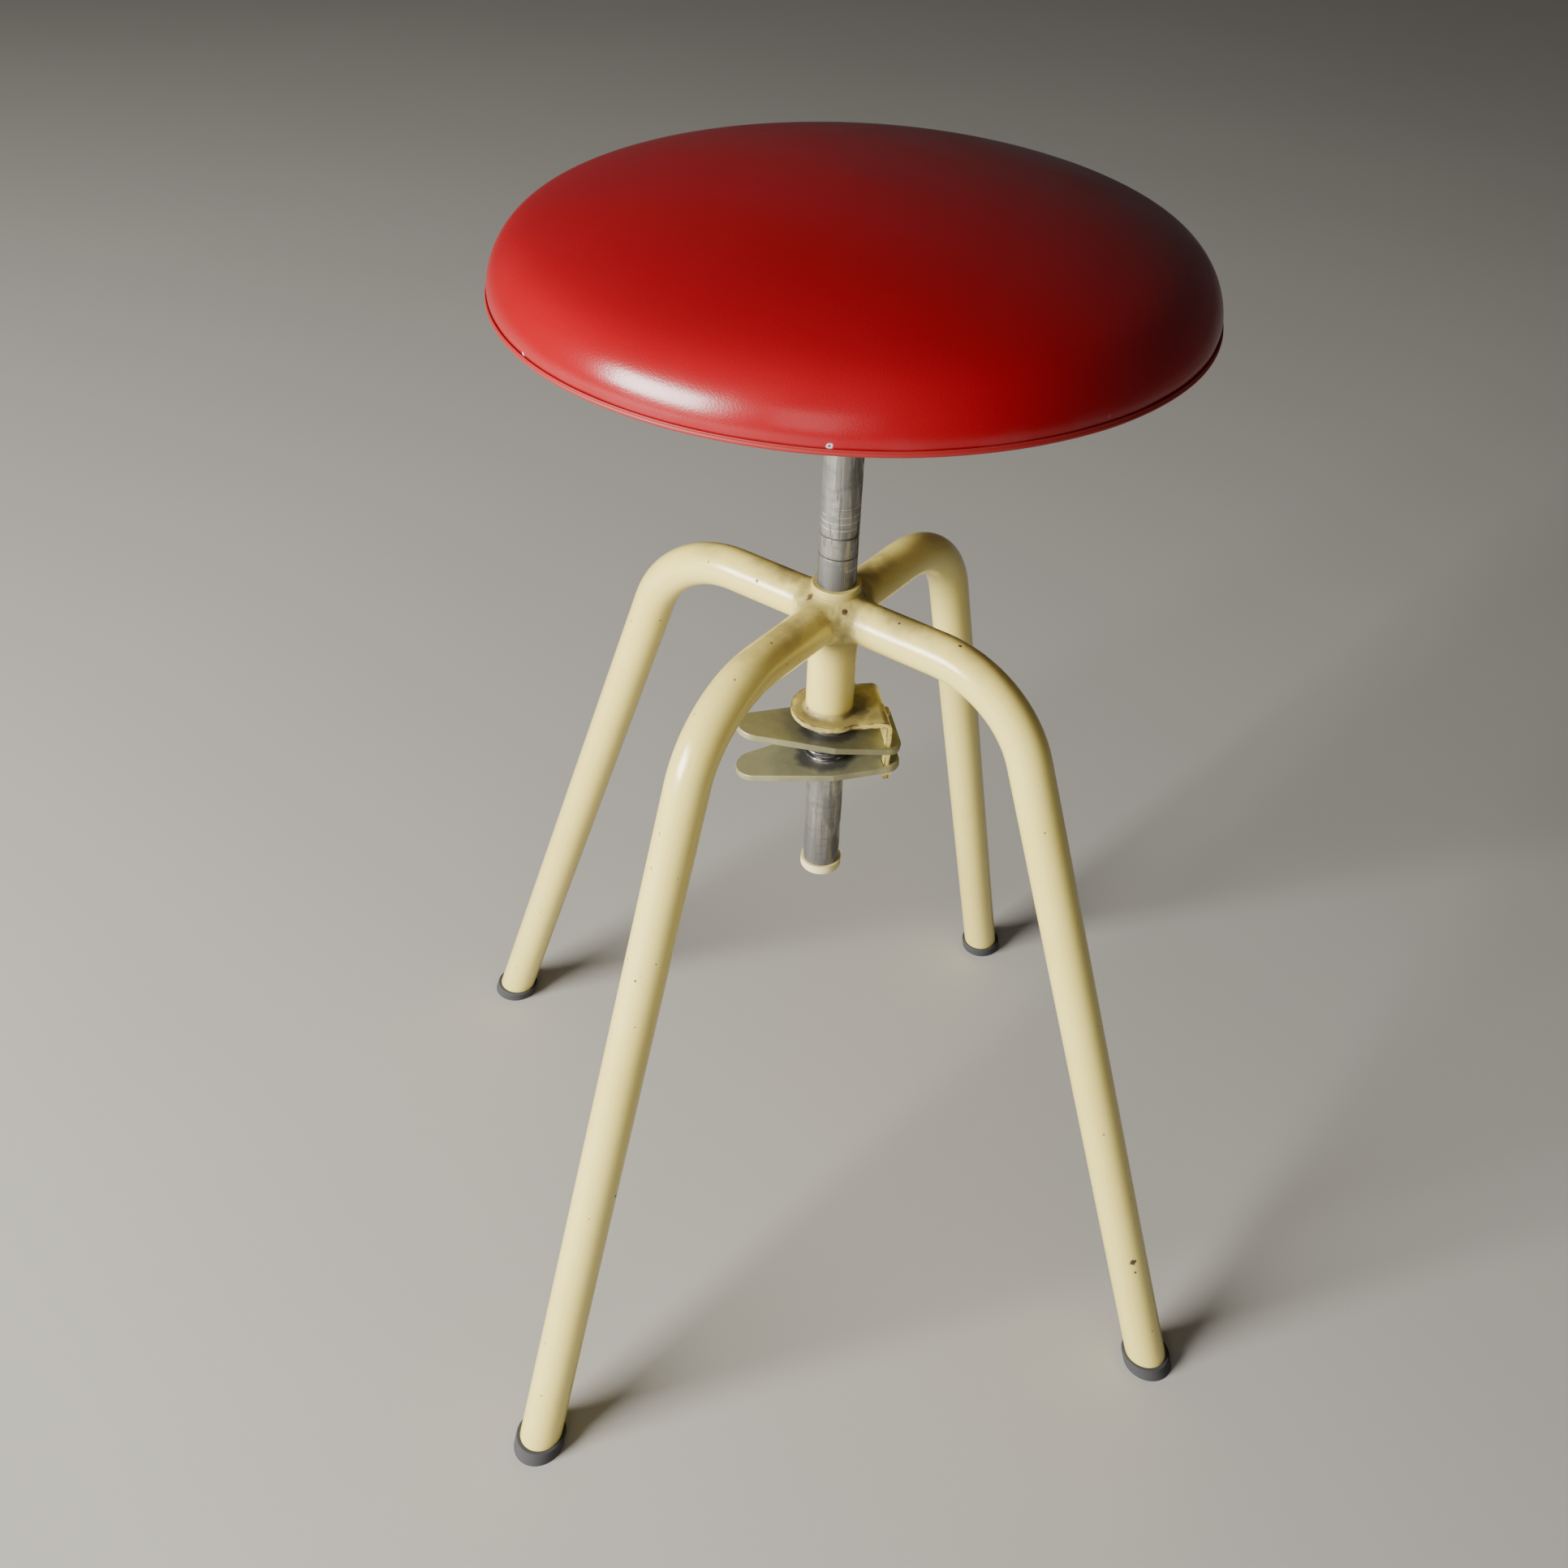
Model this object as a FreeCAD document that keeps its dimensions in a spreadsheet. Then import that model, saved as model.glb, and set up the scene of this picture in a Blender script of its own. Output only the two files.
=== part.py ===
"""Round work stool on four bent tube legs, with a sliding post held by two friction levers.

Millimetres, +Z up. The origin is on the floor under the post's axis. +X points to the side where
the clamp bracket's prongs are, and the levers' free ends point to -X. Front is -Y.
"""
import FreeCAD, Part
import math
import os
import Sketcher

DRIVING_SIZES = [
    # legs and sleeve
    ("leg_tube_diameter", 25.0),
    ("leg_tube_wall", 1.5),
    ("foot_circle_radius", 275.0),
    ("arm_height", 466.0),
    ("knee_radius", 116.0),
    ("leg_bend_radius", 66.0),
    ("leg_joint_gap", 0.15),
    ("sleeve_wall", 3.0),
    ("sleeve_length", 85.8),
    ("sleeve_above_arm", 19.4),
    ("sleeve_edge_round", 0.8),
    # each foot stands a little outside its circle, and sideways, anticlockwise from above
    ("foot_out_front_left", 2.7),
    ("foot_out_front_right", 0.0),
    ("foot_out_back_right", -12.7),
    ("foot_out_back_left", 1.2),
    ("foot_side_front_left", 0.8),
    ("foot_side_front_right", 0.0),
    ("foot_side_back_right", 6.7),
    ("foot_side_back_left", 11.3),
    # rubber feet
    ("foot_overhang", 2.3),
    ("foot_height", 8.5),
    ("foot_stem_length", 18.0),
    ("foot_stem_clearance", 0.1),
    ("foot_edge_round", 1.0),
    # post, its end cap and its running fit
    ("post_diameter", 22.0),
    ("post_wall", 2.0),
    ("post_length", 369.0),
    ("post_running_gap", 0.06),
    ("cap_overhang", 1.5),
    ("cap_rim_height", 6.5),
    ("cap_stem_length", 12.0),
    ("cap_stem_clearance", 0.1),
    ("cap_edge_round", 1.6),
    # clamp bracket
    ("bracket_thickness", 3.2),
    ("bracket_nose_radius", 22.5),
    ("bracket_half_width", 20.3),
    ("bracket_reach", 33.8),
    ("bracket_bend_radius", 5.6),
    ("bracket_post_gap", 0.5),
    ("flange_drop", 17.1),
    ("prong_width", 6.0),
    ("prong_past_lever", 6.0),
    ("stake_height", 2.4),
    ("stake_spread", 1.1),
    ("stake_gap", 0.4),
    ("rivet_radius", 3.2),
    ("rivet_proud", 2.4),
    ("rivet_drop", 7.0),
    ("rivet_round", 1.7),
    # friction levers
    ("lever_thickness", 4.2),
    ("lever_half_width", 23.0),
    ("lever_tail_past_prong", 7.2),
    ("lever_tail_corner", 9.0),
    ("lever_tip_reach", 55.0),
    ("lever_tip_radius", 12.0),
    ("lever_tilt", 6.0),
    ("lever_hole_gap", 0.45),
    ("lever_slot_gap", 0.4),
    ("lever_edge_round", 0.6),
    ("lever_spacing", 13.4),
    ("shoulder_gap", 0.3),
    # clamp spring
    ("spring_wire", 2.0),
    ("spring_post_gap", 0.6),
    ("spring_end_gap", 0.3),
    # seat
    ("seat_above_sleeve", 169.9),
    ("seat_radius", 179.1),
    ("seat_side_height", 7.0),
    ("seat_dome_height", 49.0),
    ("seat_shoulder_radius", 29.5),
    ("cover_thickness", 1.2),
    ("cover_hem_width", 24.0),
    ("bead_radius", 1.5),
    ("bead_gap", 0.1),
    ("bead_headroom", 0.4),
    ("foam_gap", 0.3),
    ("board_thickness", 12.0),
    ("board_edge_padding", 7.0),
    ("plate_radius", 75.0),
    ("plate_thickness", 3.0),
    ("screw_circle_radius", 58.0),
    ("screw_shank_radius", 2.25),
    ("screw_head_radius", 4.6),
    ("screw_head_height", 2.8),
    ("screw_head_round", 1.7),
    ("screw_slot_width", 1.1),
    ("screw_slot_depth", 1.1),
    ("screw_length", 10.0),
    ("screw_hole_gap", 0.3),
    ("staple_crown", 10.0),
    ("staple_wire", 0.8),
    ("staple_from_edge", 14.0),
]

LEG_AZIMUTHS = {"front_left": -135.0, "front_right": -45.0, "back_right": 45.0, "back_left": 135.0}
SPRING_HALF_TURNS = 7
SCREW_COUNT = 4
STAPLE_COUNT = 32


class Size:
    """A number together with the spreadsheet formula that it comes from."""

    def __init__(self, value, text):
        self.value = value
        self.text = text

    def _joined(self, other, sign, value):
        return Size(value, "(" + self.text + sign + as_size(other).text + ")")

    def __add__(self, other):
        return self._joined(other, " + ", self.value + as_size(other).value)

    def __sub__(self, other):
        return self._joined(other, " - ", self.value - as_size(other).value)

    def __mul__(self, other):
        return self._joined(other, " * ", self.value * as_size(other).value)

    def __truediv__(self, other):
        return self._joined(other, " / ", self.value / as_size(other).value)

    def __neg__(self):
        return Size(-self.value, "(-1 * " + self.text + ")")


def as_size(item):
    """Give a plain number the same form as a sheet size."""
    return item if isinstance(item, Size) else Size(float(item), repr(float(item)))


def root(size):
    return Size(math.sqrt(size.value), "sqrt(" + size.text + ")")


def sine(degrees):
    return Size(math.sin(math.radians(degrees.value)), "sin(" + degrees.text + " * 1 deg)")


def cosine(degrees):
    return Size(math.cos(math.radians(degrees.value)), "cos(" + degrees.text + " * 1 deg)")


def slope_angle(across, along):
    """Degrees of a slope that goes across for every along; along is never negative."""
    degrees = math.degrees(math.atan2(across.value, along.value))
    return Size(degrees, "(atan(" + across.text + " / " + along.text + ") / 1 deg)")


ZERO = as_size(0.0)

doc = FreeCAD.newDocument("work_stool")


def make_sheet():
    """Write the driving sizes to the sheet and return them by name."""
    sheet = doc.addObject("Spreadsheet::Sheet", "Sizes")
    sizes = {}
    for row, (name, value) in enumerate(DRIVING_SIZES, start=1):
        sheet.set("A" + str(row), name)
        sheet.set("B" + str(row), str(value))
        sheet.setAlias("B" + str(row), name)
        sizes[name] = Size(value, "Sizes." + name)
    doc.recompute()
    return sizes


S = make_sheet()


# ---------------------------------------------------------------- derived sizes, shared by pieces

leg_radius = S["leg_tube_diameter"] / 2
leg_bore_radius = leg_radius - S["leg_tube_wall"]
post_radius = S["post_diameter"] / 2
post_bore_radius = post_radius - S["post_wall"]
sleeve_bore_radius = post_radius + S["post_running_gap"]
sleeve_radius = sleeve_bore_radius + S["sleeve_wall"]
sleeve_top = S["arm_height"] + S["sleeve_above_arm"]

bracket_top = sleeve_top - S["sleeve_length"]
bracket_bottom = bracket_top - S["bracket_thickness"]
prong_inner_x = S["bracket_reach"] - S["bracket_thickness"]
prong_middle_x = S["bracket_reach"] - S["bracket_thickness"] / 2
shoulder_height = bracket_top - S["flange_drop"]
prong_inner_y = S["bracket_half_width"] - S["prong_width"]

half_lever = S["lever_thickness"] / 2
lever_tail_x = S["bracket_reach"] + S["lever_tail_past_prong"]
lever_hole_radius = post_radius + S["lever_hole_gap"]
# a tilted lever's top edge at the prong's inner face stands this far above its hinge line
lever_top_rise = half_lever * cosine(S["lever_tilt"])
lever_top_rise = lever_top_rise + S["bracket_thickness"] / 2 * sine(S["lever_tilt"])
upper_hinge_z = shoulder_height - S["shoulder_gap"] - lever_top_rise
lower_hinge_z = upper_hinge_z - S["lever_spacing"]
lower_lever_underside = lower_hinge_z - half_lever
prong_tip_z = lower_lever_underside - S["prong_past_lever"]
stake_top_z = lower_lever_underside - S["stake_gap"]

seat_base = sleeve_top + S["seat_above_sleeve"]
board_bottom = seat_base + S["cover_thickness"]
board_top = board_bottom + S["board_thickness"]
board_radius = S["seat_radius"] - S["board_edge_padding"]
plate_bottom = board_bottom - S["plate_thickness"]
cap_rim_top = plate_bottom - S["post_length"]
cap_bottom = cap_rim_top - S["cap_rim_height"]
seat_shoulder_z = seat_base + S["seat_side_height"]
# the bead lies against a step that goes into the seat's side
step_x = S["seat_radius"] - S["bead_radius"] - S["bead_gap"] * 2
step_top = seat_base + S["bead_radius"] * 2 + S["bead_headroom"]
bead_ring_radius = step_x + S["bead_gap"] + S["bead_radius"]


# ---------------------------------------------------------------- drawing helpers


def new_body(label, placement=FreeCAD.Placement()):
    """Add an empty body, named after its node and standing at its placement."""
    body = doc.addObject("PartDesign::Body", label)
    body.Label = label
    body.Placement = placement
    return body


def new_sketch(body, plane_role, name, height=None):
    """Attach a sketch to one of the body's own origin planes, lifted along its normal."""
    sketch = body.newObject("Sketcher::SketchObject", name)
    plane = next(item for item in body.Origin.OriginFeatures if item.Role == plane_role)
    sketch.AttachmentSupport = [(plane, "")]
    sketch.MapMode = "FlatFace"
    if height is not None:
        sketch.AttachmentOffset = FreeCAD.Placement(
            FreeCAD.Vector(0, 0, height.value), FreeCAD.Rotation()
        )
        sketch.setExpression("AttachmentOffset.Base.z", height.text)
    return sketch


def bind(sketch, constraint, size):
    """Add a dimension and tie it to its formula."""
    index = sketch.addConstraint(constraint)
    sketch.setExpression("Constraints[" + str(index) + "]", size.text)


def pin_point(sketch, geometry, end, x, y):
    """Fix one end or the centre of a sketch edge by its two coordinates."""
    bind(sketch, Sketcher.Constraint("DistanceX", -1, 1, geometry, end, x.value), x)
    bind(sketch, Sketcher.Constraint("DistanceY", -1, 1, geometry, end, y.value), y)


def add_circle(sketch, radius, x=ZERO, y=ZERO):
    centre = FreeCAD.Vector(x.value, y.value, 0)
    circle = sketch.addGeometry(Part.Circle(centre, FreeCAD.Vector(0, 0, 1), radius.value), False)
    pin_point(sketch, circle, 3, x, y)
    bind(sketch, Sketcher.Constraint("Radius", circle, radius.value), radius)


def arc_between(start, end, centre, clockwise):
    """Arc of a circle from start to end, the shorter or longer way as its turn asks."""
    radius = math.hypot(start[0] - centre[0], start[1] - centre[1])
    first = math.atan2(start[1] - centre[1], start[0] - centre[0])
    last = math.atan2(end[1] - centre[1], end[0] - centre[0])
    circle = Part.Circle(FreeCAD.Vector(centre[0], centre[1], 0), FreeCAD.Vector(0, 0, 1), radius)
    if clockwise:
        first, last = last, first
    if last < first:
        last += 2 * math.pi
    return Part.ArcOfCircle(circle, first, last)


def add_path(sketch, points, bends=None, closed=True):
    """Draw straight edges through points; an edge in bends is an arc of that radius and centre.

    bends maps the number of the edge's first point to (radius, centre x, centre y, clockwise).
    """
    bends = bends or {}
    count = len(points) if closed else len(points) - 1
    for number in range(count):
        x0, y0 = points[number]
        x1, y1 = points[(number + 1) % len(points)]
        if number not in bends:
            line = Part.LineSegment(
                FreeCAD.Vector(x0.value, y0.value, 0), FreeCAD.Vector(x1.value, y1.value, 0)
            )
            edge = sketch.addGeometry(line, False)
            pin_point(sketch, edge, 1, x0, y0)
            pin_point(sketch, edge, 2, x1, y1)
            continue
        radius, centre_x, centre_y, clockwise = bends[number]
        arc = arc_between(
            (x0.value, y0.value), (x1.value, y1.value), (centre_x.value, centre_y.value), clockwise
        )
        edge = sketch.addGeometry(arc, False)
        start, end = (2, 1) if clockwise else (1, 2)
        pin_point(sketch, edge, start, x0, y0)
        pin_point(sketch, edge, end, x1, y1)
        bind(sketch, Sketcher.Constraint("Radius", edge, radius.value), radius)


def pad(body, sketch, name, length, reverse=False):
    feature = body.newObject("PartDesign::Pad", name)
    feature.Profile = sketch
    feature.Length = length.value
    feature.setExpression("Length", length.text)
    feature.Reversed = reverse
    return feature


def pocket_through(body, sketch, name):
    """Cut the sketch through everything on both sides of its plane."""
    feature = body.newObject("PartDesign::Pocket", name)
    feature.Profile = sketch
    feature.Type = "ThroughAll"
    feature.SideType = "Symmetric"
    doc.recompute()
    before = feature.BaseFeature.Shape.Volume
    if feature.Shape.Volume >= before:
        raise RuntimeError(name + " cuts nothing")
    return feature


def revolve(body, sketch, name):
    """Turn a sketch about the body's own Z axis."""
    feature = body.newObject("PartDesign::Revolution", name)
    feature.Profile = sketch
    feature.ReferenceAxis = (sketch, ["V_Axis"])
    feature.Angle = 360.0
    return feature


def fillet_edges(body, base, name, radius, wanted):
    """Round the edges of a feature whose midpoints the test accepts."""
    doc.recompute()
    names = []
    for number, edge in enumerate(base.Shape.Edges, start=1):
        middle = edge.valueAt((edge.FirstParameter + edge.LastParameter) / 2)
        if wanted(edge, middle):
            names.append("Edge" + str(number))
    if not names:
        raise RuntimeError(name + " finds no edge")
    feature = body.newObject("PartDesign::Fillet", name)
    feature.Base = (base, names)
    feature.Radius = radius.value
    feature.setExpression("Radius", radius.text)
    return feature


def near(first, second, tolerance=0.01):
    return abs(first - second) < tolerance


def is_circle(edge):
    return edge.Curve.TypeId == "Part::GeomCircle"


def turned(azimuth):
    """Placement turned about the post's axis."""
    return FreeCAD.Placement(
        FreeCAD.Vector(0, 0, 0), FreeCAD.Rotation(FreeCAD.Vector(0, 0, 1), azimuth)
    )


# ---------------------------------------------------------------- frame


def make_sleeve():
    body = new_body("centre_sleeve")
    sketch = new_sketch(body, "XY_Plane", "sleeve_section", bracket_top)
    add_circle(sketch, sleeve_radius)
    add_circle(sketch, sleeve_bore_radius)
    tube = pad(body, sketch, "sleeve_tube", S["sleeve_length"])
    fillet_edges(
        body,
        tube,
        "sleeve_lip",
        S["sleeve_edge_round"],
        lambda edge, middle: is_circle(edge) and near(middle.z, sleeve_top.value)
        and near(edge.Curve.Radius, sleeve_radius.value),
    )


def foot_point(corner):
    """Where a leg's axis meets the floor: outward from the post, and sideways."""
    return S["foot_circle_radius"] + S["foot_out_" + corner], S["foot_side_" + corner]


def add_level_cut(body, name, plane_role, low, high, slope=ZERO):
    """Cut away everything between two lines of one slope, far past the tube on both sides."""
    reach = S["foot_circle_radius"] * 2
    sketch = new_sketch(body, plane_role, name + "_outline")
    fall = reach * slope
    corners = [(-reach, low + fall), (reach, low - fall), (reach, high - fall), (-reach, high + fall)]
    add_path(sketch, corners)
    return pocket_through(body, sketch, name)


def make_leg(corner, azimuth):
    """Arm, bend and straight run, saddle-cut to the sleeve, mitred to its neighbours, cut level."""
    body = new_body("leg_" + corner, turned(azimuth))
    foot_out, foot_side = foot_point(corner)
    # the leg's own plane holds the arm and the foot, so it leans by the foot's sideways shift
    outward = foot_out - S["knee_radius"]
    drop = root(S["arm_height"] * S["arm_height"] + foot_side * foot_side)
    length = root(outward * outward + drop * drop)
    across = outward / length
    down = drop / length
    # half-angle tangent of the bend: the run leans out by less than a right angle
    bend_setback = S["leg_bend_radius"] * down / (across + 1)
    bend_start_x = S["knee_radius"] - bend_setback
    overlong = length + leg_radius

    path = new_sketch(body, "XZ_Plane", "leg_path")
    roll = slope_angle(foot_side, S["arm_height"])
    path.AttachmentOffset = FreeCAD.Placement(
        FreeCAD.Vector(0, S["arm_height"].value, 0),
        FreeCAD.Rotation(FreeCAD.Vector(1, 0, 0), roll.value),
    )
    path.setExpression("AttachmentOffset.Base.y", S["arm_height"].text)
    path.setExpression("AttachmentOffset.Rotation.Angle", roll.text)
    add_path(
        path,
        [
            (ZERO, ZERO),
            (bend_start_x, ZERO),
            (S["knee_radius"] + bend_setback * across, -(bend_setback * down)),
            (S["knee_radius"] + overlong * across, -(overlong * down)),
        ],
        bends={1: (S["leg_bend_radius"], bend_start_x, -S["leg_bend_radius"], True)},
        closed=False,
    )
    section = new_sketch(body, "YZ_Plane", "leg_section")
    add_circle(section, leg_radius, ZERO, S["arm_height"])
    add_circle(section, leg_bore_radius, ZERO, S["arm_height"])
    doc.recompute()
    tube = body.newObject("PartDesign::AdditivePipe", "leg_tube")
    tube.Profile = section
    tube.Spine = (path, ["Edge1", "Edge2", "Edge3"])

    mitre = new_sketch(body, "XY_Plane", "leg_mitre")
    apex = S["leg_joint_gap"] * root(as_size(2.0))
    reach = S["leg_tube_diameter"] * 2
    add_path(
        mitre,
        [
            (apex, ZERO),
            (reach, reach - apex),
            (-reach, reach - apex),
            (-reach, apex - reach),
            (reach, apex - reach),
        ],
    )
    pocket_through(body, mitre, "leg_mitre_cut")
    saddle = new_sketch(body, "XY_Plane", "leg_saddle")
    add_circle(saddle, sleeve_radius)
    pocket_through(body, saddle, "leg_saddle_cut")
    add_level_cut(body, "leg_end_cut", "XZ_Plane", -S["leg_tube_diameter"] * 2, S["foot_height"])


def foot_slope(corner):
    """How far a leg's straight run goes outward for every millimetre of height."""
    foot_out, foot_side = foot_point(corner)
    outward = foot_out - S["knee_radius"]
    return root(outward * outward + foot_side * foot_side) / S["arm_height"]


def foot_placement(corner, azimuth):
    """Stand a foot where its leg's axis meets the floor, leaning with the leg."""
    foot_out, foot_side = foot_point(corner)
    heading = slope_angle(foot_side, foot_out - S["knee_radius"])
    lean = math.degrees(math.atan(foot_slope(corner).value))
    facing = FreeCAD.Placement(
        FreeCAD.Vector(foot_out.value, foot_side.value, 0),
        FreeCAD.Rotation(FreeCAD.Vector(0, 0, 1), heading.value),
    )
    leaning = FreeCAD.Placement(
        FreeCAD.Vector(0, 0, 0), FreeCAD.Rotation(FreeCAD.Vector(0, 1, 0), -lean)
    )
    return turned(azimuth).multiply(facing).multiply(leaning)


def make_foot(corner, azimuth):
    """Rubber plug in line with the leg, with a flange between the level tube end and the floor."""
    body = new_body("foot_" + corner, foot_placement(corner, azimuth))
    slope = foot_slope(corner)
    # along the leg's axis, the level tube end is this far from the floor
    seat = S["foot_height"] * root(slope * slope + 1)
    depth = S["leg_tube_diameter"]
    flange_circle = new_sketch(body, "XY_Plane", "foot_flange_circle", -depth)
    add_circle(flange_circle, leg_radius + S["foot_overhang"])
    pad(body, flange_circle, "foot_flange", depth * 2)
    doc.recompute()
    trimmed = add_level_cut(body, "foot_top_cut", "XZ_Plane", seat, seat + depth * 2, slope)
    rounded = fillet_edges(
        body,
        trimmed,
        "foot_flange_round",
        S["foot_edge_round"],
        lambda edge, middle: edge.isClosed() and not is_circle(edge),
    )
    body.Tip = rounded
    stem_circle = new_sketch(body, "XY_Plane", "foot_stem_circle", -depth)
    add_circle(stem_circle, leg_bore_radius - S["foot_stem_clearance"])
    pad(body, stem_circle, "foot_stem", depth + seat + S["foot_stem_length"])
    doc.recompute()
    add_level_cut(body, "foot_sole_cut", "XZ_Plane", -(depth * 3), ZERO, slope)


# ---------------------------------------------------------------- post


def make_post():
    body = new_body("seat_post")
    sketch = new_sketch(body, "XY_Plane", "post_section", cap_rim_top)
    add_circle(sketch, post_radius)
    add_circle(sketch, post_bore_radius)
    pad(body, sketch, "post_tube", S["post_length"])


def make_end_cap():
    body = new_body("post_end_cap")
    rim_radius = post_radius + S["cap_overhang"]
    stem_radius = post_bore_radius - S["cap_stem_clearance"]
    stem_top = cap_rim_top + S["cap_stem_length"]
    profile = new_sketch(body, "XZ_Plane", "cap_profile")
    add_path(
        profile,
        [
            (ZERO, cap_bottom),
            (rim_radius, cap_bottom),
            (rim_radius, cap_rim_top),
            (stem_radius, cap_rim_top),
            (stem_radius, stem_top),
            (ZERO, stem_top),
        ],
    )
    plug = revolve(body, profile, "cap_plug")
    fillet_edges(
        body,
        plug,
        "cap_round",
        S["cap_edge_round"],
        lambda edge, middle: is_circle(edge) and near(middle.z, cap_bottom.value),
    )


# ---------------------------------------------------------------- clamp


def make_bracket():
    """D-shaped plate under the sleeve, bent down into a flange with two staked prongs."""
    body = new_body("clamp_bracket")
    plate = new_sketch(body, "XY_Plane", "bracket_plate_outline", bracket_bottom)
    nose = S["bracket_nose_radius"]
    half_width = S["bracket_half_width"]
    side_start = root(nose * nose - half_width * half_width)
    add_path(
        plate,
        [
            (side_start, half_width),
            (side_start, -half_width),
            (S["bracket_reach"], -half_width),
            (S["bracket_reach"], half_width),
        ],
        bends={0: (nose, ZERO, ZERO, False)},
    )
    add_circle(plate, post_radius + S["bracket_post_gap"])
    pad(body, plate, "bracket_plate", S["bracket_thickness"])

    flange = new_sketch(body, "YZ_Plane", "bracket_flange_outline", S["bracket_reach"])
    outline = [(half_width, bracket_bottom), (half_width, prong_tip_z)]
    outline += [(prong_inner_y, prong_tip_z), (prong_inner_y, shoulder_height)]
    outline += [(-y, z) for y, z in reversed(outline)]
    add_path(flange, outline)
    pad(body, flange, "bracket_flange", S["bracket_thickness"], reverse=True)

    stakes = new_sketch(body, "XY_Plane", "prong_stakes", stake_top_z - S["stake_height"])
    spread = S["stake_spread"]
    for side in (1, -1):
        low_y = prong_inner_y - spread
        high_y = half_width + spread
        corners = [
            (prong_inner_x - spread, low_y * side),
            (S["bracket_reach"] + spread, low_y * side),
            (S["bracket_reach"] + spread, high_y * side),
            (prong_inner_x - spread, high_y * side),
        ]
        add_path(stakes, corners)
    pad(body, stakes, "bracket_stakes", S["stake_height"])

    rivet = new_sketch(body, "YZ_Plane", "bracket_rivet_circle", S["bracket_reach"])
    add_circle(rivet, S["rivet_radius"], ZERO, bracket_top - S["rivet_drop"])
    button = pad(body, rivet, "bracket_rivet", S["rivet_proud"])
    rounded = fillet_edges(
        body,
        button,
        "bracket_rivet_round",
        S["rivet_round"],
        lambda edge, middle: is_circle(edge)
        and near(middle.x, (S["bracket_reach"] + S["rivet_proud"]).value),
    )
    outer_bend = fillet_edges(
        body,
        rounded,
        "bracket_outer_bend",
        S["bracket_bend_radius"],
        lambda edge, middle: near(middle.x, S["bracket_reach"].value)
        and near(middle.z, bracket_top.value),
    )
    fillet_edges(
        body,
        outer_bend,
        "bracket_inner_bend",
        S["bracket_bend_radius"] - S["bracket_thickness"],
        lambda edge, middle: near(middle.x, prong_inner_x.value)
        and near(middle.z, bracket_bottom.value),
    )


def lever_placement(hinge_height, tilt):
    """Carry a lever to its hinge line and tilt it about that line."""
    lever_at_hinge = FreeCAD.Placement(
        FreeCAD.Vector(0, 0, hinge_height.value), FreeCAD.Rotation()
    )
    hinge_line = FreeCAD.Vector(prong_middle_x.value, 0, hinge_height.value)
    tilting = FreeCAD.Placement(
        FreeCAD.Vector(0, 0, 0), FreeCAD.Rotation(FreeCAD.Vector(0, 1, 0), tilt), hinge_line
    )
    return tilting.multiply(lever_at_hinge)


def make_lever(label, hinge_height, tilt):
    """Flat steel lever with a hole for the post, two prong slots and a tapered, rounded free end."""
    body = new_body(label, lever_placement(hinge_height, tilt))
    width = S["lever_half_width"]
    tip = S["lever_tip_radius"]
    tip_centre = S["lever_tip_reach"] - tip
    # the tapered side starts beside the post and is tangent to the rounded tip
    span = root(tip_centre * tip_centre + width * width)
    tangent = root(span * span - tip * tip)
    sine_taper = (width * tangent - tip_centre * tip) / (span * span)
    cosine_taper = (tip_centre * tangent + width * tip) / (span * span)
    tangent_x = -tip_centre - tip * sine_taper
    tangent_y = tip * cosine_taper

    outline = new_sketch(body, "XY_Plane", "lever_outline", -half_lever)
    add_path(
        outline,
        [
            (lever_tail_x, -width),
            (lever_tail_x, width),
            (ZERO, width),
            (tangent_x, tangent_y),
            (tangent_x, -tangent_y),
            (ZERO, -width),
        ],
        bends={3: (tip, -tip_centre, ZERO, False)},
    )
    plate = pad(body, outline, "lever_plate", S["lever_thickness"])

    # while tilted, the hole's middle moves toward the hinge, so it sits that much outside the axis
    drift = prong_middle_x * (as_size(1.0) - cosine(S["lever_tilt"]))
    openings = new_sketch(body, "XY_Plane", "lever_openings")
    add_circle(openings, lever_hole_radius, -drift, ZERO)
    gap = S["lever_slot_gap"]
    for side in (1, -1):
        low_y = prong_inner_y - gap
        high_y = S["bracket_half_width"] + gap
        corners = [
            (prong_inner_x - gap, low_y * side),
            (S["bracket_reach"] + gap, low_y * side),
            (S["bracket_reach"] + gap, high_y * side),
            (prong_inner_x - gap, high_y * side),
        ]
        add_path(openings, corners)
    body.Tip = plate
    cut = pocket_through(body, openings, "lever_openings_cut")
    corners = fillet_edges(
        body,
        cut,
        "lever_tail_corners",
        S["lever_tail_corner"],
        lambda edge, middle: near(middle.x, lever_tail_x.value) and near(middle.z, 0.0),
    )
    fillet_edges(
        body,
        corners,
        "lever_edge_round",
        S["lever_edge_round"],
        lambda edge, middle: near(abs(middle.z), half_lever.value)
        and (middle.x < -tip_centre.value or near(abs(middle.y), width.value)),
    )


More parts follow.
